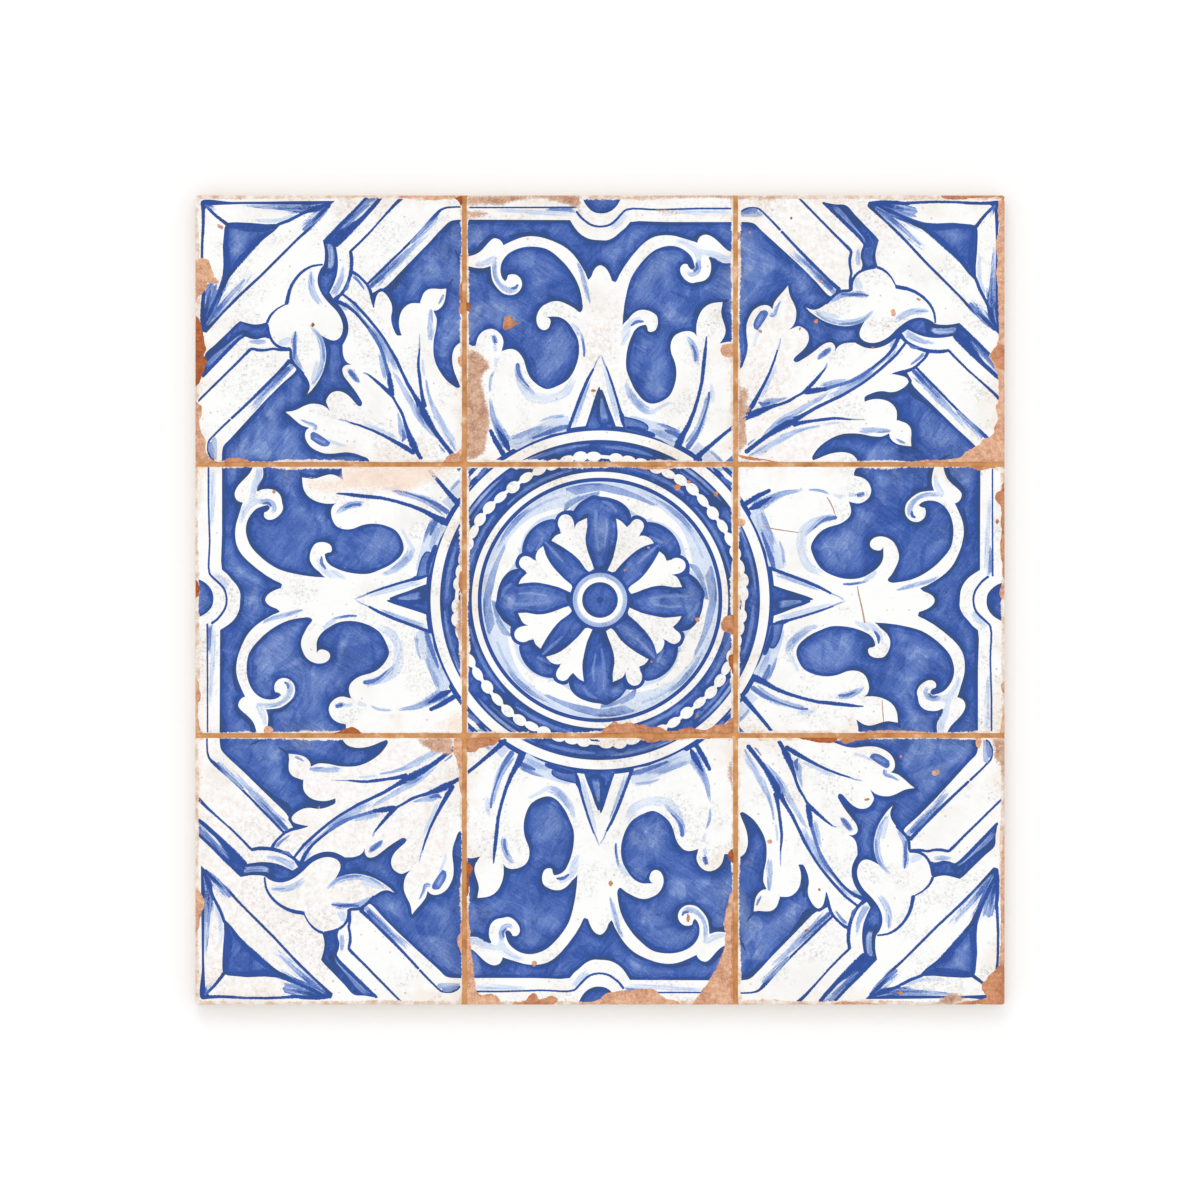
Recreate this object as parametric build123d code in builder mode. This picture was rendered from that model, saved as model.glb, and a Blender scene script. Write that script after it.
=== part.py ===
from build123d import *
from math import radians, tan
import os

# Millimetres. The tile lies face up: X to the right and Y up the face as it hangs on a wall,
# Z out of the face. The origin is the middle of the back, on the ribs that meet the adhesive.

# Overall size of the fired tile
tile_side = 330.0
tile_thickness = 9.4

# Pressed face: a square grid of cells parted by false joints that run out at the tile's edges
cells_per_side = 3
joint_width = 1.8
joint_depth = 0.9
cell_corner_radius = 1.0
face_edge_radius = 0.7

# Edge: full width for a short land under the face, then drawn in towards the back
edge_land = 3.2
edge_draft = 7.0
back_edge_radius = 0.8

# Keying back: drafted square pockets between ribs that all end in one plane
pocket_side = 22.0
pocket_depth = 1.1
pocket_draft = 18.0
pocket_corner_cut = 2.5
rib_width = 4.0
smallest_border = 8.0

# Heights of the planes that the shapes are drawn on
face_height = tile_thickness
joint_floor_height = face_height - joint_depth
land_foot_height = joint_floor_height - edge_land

# Cells fill the side, with a joint between each two
cell_side = (tile_side - (cells_per_side - 1) * joint_width) / cells_per_side
cell_pitch = cell_side + joint_width

# As many whole pockets as the drawn-in back has room for inside its plain border
back_side = tile_side - 2 * land_foot_height * tan(radians(edge_draft))
pocket_pitch = pocket_side + rib_width
pockets_per_side = int((back_side - 2 * smallest_border + rib_width) // pocket_pitch)

with BuildPart() as wall_tile:
    # Slab: the land, and the drafted part that the press lets go of towards the back
    with BuildSketch(Plane.XY.offset(land_foot_height)) as edge_outline:
        RectangleRounded(tile_side, tile_side, cell_corner_radius)
    extrude(amount=edge_land)
    extrude(to_extrude=edge_outline.sketch, amount=-land_foot_height, taper=edge_draft)
    back_rim = wall_tile.faces().sort_by(Axis.Z)[0].edges()
    fillet(back_rim, radius=back_edge_radius)

    # Face cells, standing a joint's depth above the slab, with eased edges
    with BuildSketch(Plane.XY.offset(joint_floor_height)):
        with GridLocations(cell_pitch, cell_pitch, cells_per_side, cells_per_side):
            RectangleRounded(cell_side, cell_side, cell_corner_radius)
    extrude(amount=joint_depth)
    cell_faces = wall_tile.faces().filter_by(Plane.XY).group_by(Axis.Z)[-1]
    fillet(cell_faces.edges(), radius=face_edge_radius)

    # Keying pockets in the back, cut off at their corners where ribs cross, and wider at
    # their mouths so that the tile leaves the die
    with BuildSketch(Plane.XY) as pocket_mouths:
        with GridLocations(pocket_pitch, pocket_pitch, pockets_per_side, pockets_per_side):
            Rectangle(pocket_side, pocket_side)
        chamfer(pocket_mouths.vertices(), length=pocket_corner_cut)
    extrude(amount=pocket_depth, taper=pocket_draft, mode=Mode.SUBTRACT)

wall_tile.part.label = "wall_tile"

os.makedirs("parts", exist_ok=True)
export_step(wall_tile.part, "parts/wall_tile.step")
print("cell side", round(cell_side, 2), "pockets a side", pockets_per_side)
print("volume", round(wall_tile.part.volume / 1000, 1), "cm3")
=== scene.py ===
import math

import bmesh
import bpy
import numpy as np
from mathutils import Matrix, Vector, kdtree, noise
from mathutils.geometry import delaunay_2d_cdt


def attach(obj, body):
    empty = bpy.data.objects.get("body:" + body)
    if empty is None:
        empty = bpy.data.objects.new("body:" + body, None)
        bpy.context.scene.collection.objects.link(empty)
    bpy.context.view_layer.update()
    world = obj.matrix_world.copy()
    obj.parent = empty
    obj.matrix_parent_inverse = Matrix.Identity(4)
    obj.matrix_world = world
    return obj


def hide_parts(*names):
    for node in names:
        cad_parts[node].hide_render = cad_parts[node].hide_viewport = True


# A glazed wall tile, painted in the blue and white majolica way. The drawing and the pressed
# shape are worked out in millimetres, with the middle of the back at the origin, and are put
# into the scene in metres. Y points up the face as the tile hangs.

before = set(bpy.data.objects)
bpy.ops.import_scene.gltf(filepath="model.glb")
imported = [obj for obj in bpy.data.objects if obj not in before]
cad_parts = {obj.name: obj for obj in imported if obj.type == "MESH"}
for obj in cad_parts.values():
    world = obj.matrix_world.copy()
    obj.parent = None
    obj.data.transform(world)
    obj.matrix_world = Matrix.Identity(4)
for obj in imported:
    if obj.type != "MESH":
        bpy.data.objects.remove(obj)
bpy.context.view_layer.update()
print("frame loaded")

tile = {
    "side": 330.0,
    "thickness": 9.4,
    "cellsPerSide": 3,
    "jointWidth": 1.8,
    "jointDepth": 0.9,
    "cornerRadius": 1.0,
    "edgeRadius": 0.7,
    "edgeLand": 3.2,
    "edgeDraft": 7.0,
    "backEdgeRadius": 0.8,
}

keying = {
    "pocketSide": 22.0,
    "pocketDepth": 1.1,
    "pocketDraft": 18.0,
    "cornerCut": 2.5,
    "ribWidth": 4.0,
    "pocketsPerSide": 12,
}

# how much cobalt the brush left: 0 is bare white glaze, 1 the darkest blue; a fading stroke runs
# dry towards its end
loads = {
    "glaze": 0.0,
    "pale": 0.16,
    "wash": 0.29,
    "soft": 0.41,
    "mid": 0.55,
    "ground": 0.68,
    "royal": 0.82,
    "navy": 1.0,
    "royalThin": 0.72,
    "washFade": 0.29,
    "softFade": 0.41,
    "midFade": 0.57,
    "royalFade": 0.8,
}

# kinds of wear: the level that the shader knows each by, and how deep it goes into the face
wearKinds = {
    "dust": (0.08, 0.0),
    "tint": (0.15, 0.0),
    "crack": (0.22, 0.0),
    "peach": (0.35, 0.2),
    "tan": (0.5, 0.08),
    "terracotta": (0.7, 0.32),
    "rust": (0.9, 0.42),
}

# distances are kept in the mesh as shares of these, in mm
farthest = {
    "inField": 20.0,
    "inWear": 10.0,
}

# how fine the net of triangles is, and how far from lines its loose points stay
net = {
    "longestEdge": 2.4,
    "fieldPitch": 1.45,
    "clearOfLines": 0.55,
    "clearOfCellEdge": 1.3,
    "bevelInsets": (-0.08, 0.0, 0.1, 0.3, 0.7, 1.1),
    "chipFloor": 0.82,
}


def smoothRun(points):  # a smooth curve through given points, with more steps where it turns more
    p = np.array(points, float)
    if len(p) == 2:
        return p
    ends = np.vstack([2 * p[0] - p[1], p, 2 * p[-1] - p[-2]])
    line = []
    for a, b, c, d in zip(ends, ends[1:], ends[2:], ends[3:]):
        ab, bc, cd = (max(math.dist(u[:2], v[:2]), 1e-6) for u, v in ((a, b), (b, c), (c, d)))
        turn = 0
        for u, v, reach in ((b - a, c - b, ab * bc), (c - b, d - c, bc * cd)):
            turn += math.degrees(math.acos(max(-1, min(1, (u[0] * v[0] + u[1] * v[1]) / reach))))
        n = max(1, min(math.ceil(turn / 13), math.ceil(bc / 0.45)))
        t = np.arange(n)[:, None] / n
        ab, bc, cd = ab**0.5, bc**0.5, cd**0.5
        m1 = bc * ((b - a) / ab - (c - a) / (ab + bc) + (c - b) / bc)
        m2 = bc * ((c - b) / bc - (d - b) / (bc + cd) + (d - c) / cd)
        line.append((2 * t**3 - 3 * t**2 + 1) * b + (t**3 - 2 * t**2 + t) * m1
                    + (-2 * t**3 + 3 * t**2) * c + (t**3 - t**2) * m2)
    return np.vstack(line + [p[-1:]])


def area(tone, *runs):  # a closed shape: smooth runs that meet in corners
    rims = []
    for i, run in enumerate(runs):
        corner = [runs[i - 1][-1]]
        if len(run) > 2 and run[0] != corner[0]:
            run = corner + list(run)
        rims.append(smoothRun(run) if len(run) > 1 else np.array(run, float))
    return tone, np.vstack(rims), None


def brush(tone, *points):  # a stroke: x, y and width at each point
    p = smoothRun(points)
    if 0 < loads[tone] < 0.5:
        p[:, 2] *= 1.4  # room for a wash's dry edges
    elif loads[tone] > 0.5:
        p[:, 2] += 0.16  # and for a line's rough ones
    run = np.gradient(p[:, :2], axis=0)
    run /= np.maximum(np.linalg.norm(run, axis=1), 1e-9)[:, None]
    side = np.column_stack([-run[:, 1], run[:, 0]]) * p[:, 2:] / 2
    left, right = p[:, :2] + side, p[:, :2] - side
    blunt = 0.35  # how far the ends stand out, as a share of the width
    tip = p[-1, :2] + run[-1] * p[-1, 2] * blunt
    tail = p[0, :2] - run[0] * p[0, 2] * blunt
    return tone, np.vstack([left, [tip], right[::-1], [tail]]), p


def brushes(tone, *strokes):
    for points in strokes:
        yield brush(tone, *points)


def arcPoints(radius, start, stop, gap=1.2):
    n = max(2, math.ceil(abs(math.radians(stop - start)) * radius / gap))
    a = np.radians(np.linspace(start, stop, n))
    return np.column_stack([radius * np.cos(a), radius * np.sin(a)])


def ring(tone, inner, outer, start=-0.4, stop=90.4):
    return tone, np.vstack([arcPoints(outer, start, stop), arcPoints(inner, stop, start)]), None


beadAngles = (2.5, 7.8, 13.2, 19.3, 25, 31.1, 37.6, 44.1, 50.2, 56.2, 61.6, 67, 73, 78.4, 83.4)


def beads():
    # A string of beads round the rosette: each swells from a thin thread
    a = np.linspace(0, 90, 240)
    stops = np.array(beadAngles)
    stops = np.concatenate([stops - 90, stops, stops + 90])
    gaps = np.abs(a[:, None] - stops[None, :])
    near = gaps.min(axis=1)
    which = gaps.argmin(axis=1) % len(beadAngles)
    width = 1.25 + 0.3 * np.sin(which * 2.4)
    swell = 0.7 + width * np.clip(1 - (near / 2.6) ** 2, 0, 1) ** 0.6
    mid = 58.5 + 0.35 * np.sin(np.radians(a * 8)) + 0.2 * np.sin(which * 1.7) * (near < 2.6)
    c, s = np.cos(np.radians(a)), np.sin(np.radians(a))
    outer = np.column_stack([(mid + swell) * c, (mid + swell) * s])
    inner = np.column_stack([(mid - swell) * c, (mid - swell) * s])
    return "glaze", np.vstack([outer, inner[::-1]]), None


def rosette():
    yield ring("pale", 30, 48.2)
    # washes in the ring round the flower
    yield area("glaze",
        [(0, 42), (0, 44.3), (5, 43.3), (10, 42.4), (15, 41), (19, 39.5), (21.6, 38.4), (24, 37.8)],
        [(22, 34.5), (19, 33), (15, 35), (12, 37), (8, 40), (3, 42)])
    yield area("soft", [(-14, 45.3), (-9.5, 46.7), (-5, 47.5), (0, 47.6), (5, 46.7), (10, 45.3),
         (15, 43.2), (19, 41.1), (22.9, 39)], [(21.4, 38.5), (19, 39.5), (15, 41.1), (10, 42.5),
         (5, 43.5), (0, 44.6), (-5, 43.9), (-9.8, 42.9)])
    yield area("mid", [(-9, 46.6), (-4, 47.5), (1, 47.4), (-2, 46.2), (-6, 46.1)])
    yield area("soft", [(-14.4, 37.4), (-14, 39.6), (-11, 41.5), (-8.4, 42.7)],
        [(-8, 41.3), (-10.2, 39.6), (-13, 37.1)])
    yield area("glaze", [(22.8, 38), (28, 34.5), (32.4, 30), (35.5, 24), (37.4, 17), (38, 12)],
        [(36.8, 12.3), (35, 18.5), (33.4, 24), (30, 28), (26, 31), (21, 32.5)])
    yield area("wash", [(34.8, 31.2), (37.5, 27.5), (40.5, 22.5), (42.5, 17)],
        [(41.5, 17), (39.3, 22.4), (36, 27.8), (33.4, 31)])
    yield area("soft", [(36.4, 14.8), (38.8, 14), (41, 11), (43, 6), (44.4, 0)],
        [(42.8, 0.6), (41.8, 5), (40, 9), (38, 12), (36.3, 14)])
    yield from brushes("soft",
        [(19.6, 42.4, 0.6), (25.4, 39.4, 1.5), (31, 35.4, 1.9), (35.8, 30.6, 1.2), (38.6, 26.8, 0.6)],
        [(44.6, 14, 0.5), (46.2, 7, 1.2), (46.4, 0.5, 0.8)])
    # double line and white ring that frame the flower
    yield ring("royal", 48.3, 49.9)
    yield ring("glaze", 49.9, 52.3)
    yield ring("ground", 52.3, 65.3)
    for tone, radius, start, stop, width in (
            ("mid", 63.6, 4, 30, 1.1), ("mid", 54.2, 12, 44, 1.2), ("soft", 63.9, 38, 66, 0.8),
            ("mid", 55.4, 52, 80, 1.4), ("mid", 62.6, 70, 88, 1.3), ("soft", 64.3, 20, 33, 0.6),
            ("mid", 61.8, 44, 58, 0.9)):
        arc = arcPoints(radius, start, stop, 6)
        swell = 0.45 + np.sin(np.linspace(0, math.pi, len(arc)))
        yield brush(tone, *np.column_stack([arc, width * swell]))
    yield beads()
    yield ring("glaze", 65.3, 69.1)
    yield ring("royal", 69.1, 71.2)
    # flower: one blue field with arched heads, and white leaves laid over it
    yield ring("ground", 10, 29)
    yield area("ground", [(-4, 12), (-8, 25), (-10.5, 29.5), (-10.9, 32), (-11.5, 35.2), (-10.6, 36.8),
         (-8.4, 39.6), (-5, 41.8), (-2.6, 42.8), (0, 42.3), (3, 41.9), (7, 40.7), (9.6, 39.2), (11.7, 37),
         (12.7, 34.2), (12.6, 30.5), (11, 26), (4, 12)])
    yield area("ground", [(15, 22), (16.6, 27), (18.3, 29), (18.6, 31.6), (20.8, 31.8), (24.2, 31),
         (28, 28.8), (31, 25.4), (32.6, 21.8), (32.9, 18.6), (31, 17), (27, 16), (22, 14)])
    yield area("royal", [(11, 29), (12.4, 32.6), (13.2, 34.1), (14.8, 34.6), (16.8, 34.1), (18.6, 32.9),
         (19.3, 31.2), (18.6, 28), (14, 26)])
    yield area("royal",
        [(32, 18.4), (34.3, 17.7), (36, 15.8), (36.6, 13.2), (36.2, 10.6), (33, 9), (28, 12), (29, 17)])
    yield area("glaze", [(3.1, 12), (4.5, 11.3), (6.1, 11.6)],
        [(8.8, 14.8), (12, 17.9), (15.5, 20.6), (18.6, 22.2), (22, 23.2)],
        [(20.6, 25), (18.4, 26.1), (16.8, 26.2), (15.6, 25.7)], [(16.4, 27.1), (17.4, 28.5), (17.9, 30.5),
         (17.1, 32.2), (15, 33), (13.3, 32.2), (12.2, 30.8), (11, 29.7)],
        [(10, 30.8), (8.4, 32.3), (6.6, 33.2)],
        [(6.9, 31), (7.2, 28), (7.1, 25), (6.3, 21), (5.3, 17), (4, 14), (3.1, 12)])
    yield area("glaze", [(12.7, 2.5), (11.6, 4.4), (12.6, 5.8)],
        [(16, 8.2), (19, 11.4), (21.5, 15), (23.2, 17.9), (24.2, 19.8)],
        [(26, 18.4), (27, 16.4), (27.3, 15.4)], [(28.6, 16.1), (30.5, 17.1), (32.8, 16.9), (34.5, 15.6),
         (34.9, 13.6), (34, 11.9), (32, 10.8), (29.2, 10.4)], [(31, 9.6), (32.3, 8), (33.4, 5.3)],
        [(30, 5.2), (26, 5.9), (22, 5.6), (18, 4.4), (15, 3.2), (12.7, 2.5)])
    yield from brushes("mid", [(-1.6, 36.4, 1.2), (-1.9, 31, 2), (-1.4, 25, 1.6), (-0.6, 20, 0.7)],
        [(2.6, 33, 0.8), (2.8, 28, 1.2), (1.8, 22, 0.6)],
        [(1.2, 40.2, 0.8), (4.4, 38.8, 1.6), (6.6, 36.2, 0.8)],
        [(23.4, 22.2, 0.8), (19.6, 18.8, 1.5), (15.4, 15, 0.7)],
        [(25.4, 23.4, 1.2), (22.8, 24.4, 1.8), (20.4, 26, 1)])
    yield from brushes("navy", [(24.4, 20.4, 0.8), (26.8, 18.9, 1.8), (28.6, 17.2, 1.4)],
        [(32.2, 9, 0.8), (33.8, 6.5, 1.7), (35, 4.9, 0.8)],
        [(3, 12.6, 1), (1.2, 13.2, 1.6), (-1, 12.6, 1)])
    yield ring("royal", 11.1, 12.4)
    yield ring("wash", 7.2, 11.1)
    yield ring("glaze", 7.2, 9.3)
    yield ring("ground", 0.001, 7.3)


def scrollCell():
    # blue ground between the top band and the leaves
    yield area("ground", [(-55, 155.2), (-12.2, 155)], [(-11, 153), (-9, 150.3), (-6.5, 148.3),
         (-3.5, 147.1), (0, 146.8), (3, 146.8), (6, 148.2), (8.4, 150.3), (10.6, 152.1), (12.3, 154.2)],
        [(16, 154.6), (21, 154.4), (27, 154.2), (55, 154.2)], [(55, 105.8), (52, 105.3), (48.7, 104.6)],
        [(39.6, 107.4)], [(38.3, 109), (36, 109.7), (33, 109.2), (30.5, 107.8), (29.2, 105.7),
         (28.8, 103), (29.2, 100.4), (30.2, 98), (31, 95), (31.1, 91), (30.2, 87), (28.5, 83.5),
         (26, 81.5), (22.7, 80.2), (20.2, 80.2), (17.8, 81.4), (15.5, 83.9), (13.5, 87), (12, 90.5),
         (10.8, 93.8), (10.6, 98), (11.3, 103), (12.6, 107), (13.8, 109.5)], [(9.2, 112)],
        [(0, 118), (-7, 120.4)], [(-7.2, 118.4), (-8.2, 117.3), (-9.4, 118)], [(-9.8, 109)], [(-9.6, 108),
         (-8.8, 105.5), (-8.5, 102), (-8.9, 98.5), (-9.8, 95.5), (-11, 92.8), (-13, 90), (-15.5, 88.2),
         (-18, 87), (-20.5, 86.1), (-22.2, 86.1), (-24.5, 87.1), (-27, 89), (-28.8, 91.2), (-30, 94),
         (-30.8, 97), (-32, 99.5), (-33.8, 101.5), (-35.5, 102.3), (-37.5, 102.3), (-39.2, 101.8),
         (-40.5, 101.4)], [(-50.7, 103.7)], [(-52, 103.6), (-53.4, 104.3), (-55, 105.2)])
    # right scroll with its collar leaf and curled end
    yield area("glaze", [(6.2, 129.6), (8, 132.7), (10, 136.1), (13, 140.2), (16, 143.7), (19, 146.4),
         (22.5, 148.2), (27, 148.8), (31, 148.4), (35, 147.2), (38, 146.3), (39.7, 145.7)], [(40, 146.8),
         (41, 148.3), (42.8, 149), (44.6, 148.7), (47, 147.3), (49.5, 144.9), (51.8, 142.8), (55, 141.2)],
        [(55, 138.1), (52.3, 137.4), (49.8, 137.7), (48, 138.9)], [(44.3, 139.9)], [(45, 138.2),
         (45.3, 135.6), (44.8, 132.9), (43.6, 131.1), (41.9, 130.1), (39.6, 129.7), (37.6, 129.3),
         (35.5, 130.1), (33.8, 131.8), (32.8, 133.8), (32.8, 135.5), (33.7, 136.8), (34.8, 137.1),
         (35.7, 136.9)], [(36.2, 135.8), (37, 135), (37.9, 134.7), (38.8, 135.6)], [(38.3, 137.6),
         (37.3, 140), (35.3, 142.1), (32.4, 143.8), (29, 144.5), (25.5, 144), (22, 142.5), (18.5, 139.5),
         (15, 135.3), (12.5, 131), (11, 126), (10, 121), (9.4, 116), (9.2, 112)], [(0, 112)], [(0, 129)])
    # left scroll
    yield area("glaze", [(-4.7, 130.6), (-6, 133.4), (-7.5, 136), (-9, 138.4), (-11, 141), (-13.5, 143.3),
         (-16, 144.9), (-19, 146.3), (-22, 147.4), (-25, 148.1), (-28, 148.4), (-31, 148.1), (-34, 147.2),
         (-37, 145.9), (-39.4, 144.7)], [(-40, 146), (-41.3, 147.1), (-43.2, 147.5), (-44.8, 146.5),
         (-47, 144), (-49, 142), (-51.5, 140.7), (-55, 139.9)],
        [(-55, 137), (-53, 136), (-50.5, 135.5), (-47.5, 135.4), (-44.6, 136.3)], [(-44.4, 133.3),
         (-43.9, 130.6), (-42.8, 128.5), (-41.2, 126.5), (-39.3, 125), (-36.8, 124.4), (-34.4, 124.9),
         (-32.6, 126.5), (-31.8, 128.8), (-32.4, 131), (-34, 132.5), (-36, 132.9), (-37.5, 132.5)],
        [(-38, 130.8), (-38.7, 130)], [(-39.8, 131.2), (-40.5, 133.2), (-40.6, 135.3), (-40.1, 137.6),
         (-38.9, 139.7), (-37.2, 141.4), (-34.8, 142.8), (-31.8, 143.8), (-28.3, 144.2), (-25.2, 144),
         (-22.3, 143.4), (-19.5, 141.9), (-17, 139.8), (-14.5, 137.4), (-12.2, 134.5), (-10, 131),
         (-8.3, 127), (-7.4, 123), (-7.1, 120.4)], [(0, 118)], [(0, 129)])
    # bud between the scrolls
    yield area("glaze", [(6.2, 129.6), (5, 130.1), (4.3, 131.9), (3.2, 134.2), (1.8, 135.8), (0.2, 136.5),
         (-1.2, 136), (-2.6, 134.3), (-3.6, 131.8), (-4.7, 130.6)], [(-5, 118)], [(5, 118)])
    # small inner scrolls
    yield area("glaze", [(9.2, 112), (11.5, 114.5), (13.5, 116.8), (16, 118.2), (18.5, 118.3),
         (21, 117.5), (23, 116), (23.6, 114), (23.3, 111.5), (22.3, 109.9), (20.8, 109.4), (19.6, 109.7),
         (19.3, 111.2), (18.7, 112.3)], [(17.3, 112.1), (15.5, 111.3), (13.8, 109.5), (12.3, 106.5)],
        [(8, 105)])
    yield area("glaze", [(-7.2, 117.4), (-8.4, 117.4), (-10.5, 119), (-13, 120.4), (-16, 121.7),
         (-18.5, 121.9), (-21, 121.2), (-23.5, 119.8), (-25.2, 117.5), (-25.9, 115), (-25.6, 112.5),
         (-24.5, 110.8), (-22.8, 110.1), (-21.3, 110.7), (-20.4, 112.3), (-20.2, 114), (-20.8, 115),
         (-21.8, 115.5)],
        [(-20, 115.6), (-17, 115.5), (-14.5, 114.4), (-12.5, 112.6), (-11, 110.5), (-9.6, 108)],
        [(-7, 108)])
    # leaf buds at the sides
    yield area("glaze", [(39.6, 107.2), (39.3, 110), (39.4, 112.5), (40.2, 115.5), (41.7, 118.3),
         (43.8, 120.2), (46.5, 121.2), (50, 121.5)], [(49.7, 119.5), (49.4, 117.8), (49.7, 115.5),
         (50.6, 112.8), (51.2, 110), (50.6, 107.3), (48.7, 104.5)], [(44, 100)])
    yield area("glaze", [(-40.5, 101.2), (-39.8, 103), (-39.4, 105.3), (-40, 107.5), (-41.3, 109.2),
         (-43, 110.3), (-45, 110.6), (-47.5, 109.7), (-49.3, 108), (-50.2, 106), (-50.7, 103.6)],
        [(-46, 99)])
    # dark touches where the leaves part
    yield brush("navy", (50.3, 121.2, 0.8), (51.8, 122.3, 1.2))
    yield area("navy", [(44.4, 139.8), (46.5, 139.8), (47.9, 138.9), (46.2, 137.6), (45.2, 137.7)])
    yield from brushes("navy",
        [(36.8, 148, 0.8), (38.4, 147.3, 1.8), (40, 149, 1.3), (42.5, 149.8, 1), (45, 149.4, 0.7)],
        [(18.2, 111.2, 1.6), (19.1, 109.4, 1.3), (20.5, 108.6, 1)],
        [(10, 117.5, 0.8), (10.8, 115.5, 1.6), (11.4, 114.6, 0.6)], [(-54.4, 141.6, 0.8),
         (-50.5, 142.6, 1.6), (-47.3, 146, 1.7), (-44.3, 148.6, 1.6), (-41.8, 148.4, 1)],
        [(-37, 148.3, 0.8), (-33, 149, 1.5), (-29, 149.5, 1.6), (-25, 149.3, 0.6)],
        [(-18, 146.7, 0.6), (-14.5, 145.2, 1.2), (-11.5, 142.2, 0.7)], [(-54.4, 135.2, 1),
         (-51, 134.2, 1.8), (-47, 134.3, 1.8), (-45.2, 133, 1.6), (-44.9, 130, 1.2), (-43.2, 127.6, 1.2),
         (-40.5, 125, 0.7)], [(-2.6, 137, 0.5), (0, 137.6, 1), (2.6, 136.8, 0.8), (5.6, 131.6, 0.6)])
    yield brush("royal", (-28, 143.2, 0.5), (-24.5, 143.4, 0.9))
    # half-round and bands at the top
    yield area("ground", [(8.6, 165.6), (7.4, 161.6), (5, 159), (2.2, 157.8), (0, 157.7), (-2.5, 158.2),
         (-4.8, 160), (-6.5, 162.5), (-7.5, 165.6)])
    yield from brushes("pale", [(30, 158.3, 0.8), (42, 158.1, 2), (54.5, 158, 2.6)],
        [(-44, 158.8, 1.2), (-30, 158.4, 1.6), (-10.5, 157.6, 2.2)])
    yield brush("soft", (-22, 159.3, 0.6), (-16, 159.4, 1.3), (-10, 159.1, 1.8))
    yield brush("pale", (11, 158, 1.5), (8, 154.5, 2.6), (5, 151.5, 1.6))
    yield from brushes("royal", [(55, 159.7, 0.7), (40, 159.7, 0.7), (24, 159.2, 0.7), (11, 159.3, 0.8),
         (8.6, 157.3, 0.9), (6.3, 154.8, 1), (4, 153.1, 0.9), (0, 152.3, 0.8), (-3.5, 153, 0.9),
         (-6, 154.6, 0.9), (-8, 156.3, 1), (-9.5, 158.4, 1)],
        [(-55, 160.1, 0.6), (-30, 160.1, 0.6), (-9.8, 160.2, 0.7)])
    # pale shading on the white leaves
    yield from brushes("pale",
        [(30.5, 146.6, 1), (34.5, 145.7, 2), (38.5, 143.4, 2.4), (40.4, 141, 3), (39.8, 138.5, 2.2)],
        [(41, 142.2, 1.4), (46, 141, 2.2), (50.5, 139.4, 3.2), (54.5, 139.2, 2.2)])
    yield brush("wash", (40.3, 139.5, 1.2), (40.2, 136, 2.2), (39.6, 133.6, 1.6), (37, 132.8, 1.4),
        (35.5, 134.3, 0.8))
    yield brush("mid", (39.3, 137.5, 0.7), (39.6, 135.4, 1.2), (38.3, 134.2, 0.8))
    yield brush("wash", (-42.6, 139.5, 1.2), (-43, 137, 1.4), (-42.8, 133, 1.4), (-41.6, 129.8, 1.5),
        (-39, 127.2, 2), (-35.6, 126.4, 2), (-33.2, 128.2, 1.4))
    yield brush("pale", (-42.5, 140, 1.4), (-46.5, 137.6, 2.4), (-51.5, 136.6, 1.2))
    yield brush("mid", (-36, 127.2, 0.9), (-34.4, 127.4, 1.2), (-33.6, 128.6, 0.7))
    yield brush("wash", (-10, 138.3, 0.6), (-8, 135, 1.4), (-6.6, 130.5, 1.7), (-5.6, 126.5, 1.6),
        (-4.4, 122, 0.9))
    yield brush("soft", (-6.3, 129, 0.6), (-5.2, 126, 1.1), (-4.2, 122, 0.6), (-4, 120.6, 0.3))
    yield brush("pale", (9, 107.5, 2), (11, 111, 2.4), (14, 113.9, 2), (17.8, 115, 1.2))
    yield brush("mid", (12.8, 112, 0.7), (15, 113.5, 1.5), (17.6, 113.6, 0.8))
    yield brush("pale", (8.6, 103.5, 1), (10.2, 107, 2), (12.2, 109.6, 1.6))
    yield brush("soft", (-7.7, 109.5, 0.6), (-7, 106, 1.1), (-6.5, 102, 1), (-6.5, 99, 0.7))
    yield brush("mid", (-6.8, 105.5, 0.4), (-6.4, 102.5, 0.7), (-6.5, 99.3, 0.5))
    yield brush("pale", (-12, 113, 0.8), (-9.6, 110.5, 2), (-8.2, 107.4, 1))
    yield brush("soft", (-43.6, 108.2, 1.2), (-42.9, 106, 1.8), (-42.5, 104.4, 1.2))
    yield brush("mid", (-43.4, 107.7, 0.6), (-42.6, 105, 0.9))
    yield from brushes("pale", [(-43, 104, 1.2), (-42.6, 101.6, 1.4)], [(-42, 99, 1.5), (-43, 95, 1)])
    yield brush("wash", (35, 107.7, 0.7), (37, 105.4, 1.8), (38.8, 101.5, 2.2), (39.2, 97.8, 2),
        (39, 96, 1))
    yield brush("mid", (37.6, 104, 0.6), (38.8, 101, 1.3), (39, 97.6, 0.9))
    # curved washes round the blue hollows
    yield brush("pale", (-34.6, 94.5, 1.2), (-32.6, 88, 2), (-29, 83.6, 3), (-23.5, 82.2, 3),
        (-18, 82.6, 3), (-13.4, 85.4, 3), (-10.4, 91, 1.6))
    yield brush("wash", (-33.6, 96, 1.6), (-33.2, 92.5, 2.2), (-31.6, 89.2, 1.8), (-29, 86.2, 1.3),
        (-26.4, 83.4, 1))
    yield brush("mid", (-33.6, 96.2, 1.6), (-33.2, 93, 1.7), (-31.8, 90, 0.9), (-29, 87, 0.5))
    yield brush("wash", (10.2, 89.6, 0.8), (11.6, 85.2, 2.4), (14.8, 80.6, 3.2), (18.4, 77.6, 3),
        (21.6, 77.2, 1.6))
    yield brush("soft", (12.2, 85, 0.8), (14.6, 81, 2.2), (17.6, 78.2, 1.2))
    yield brush("pale", (20, 75.6, 1), (24, 78.4, 1.6), (29.5, 80.8, 1))
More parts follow.
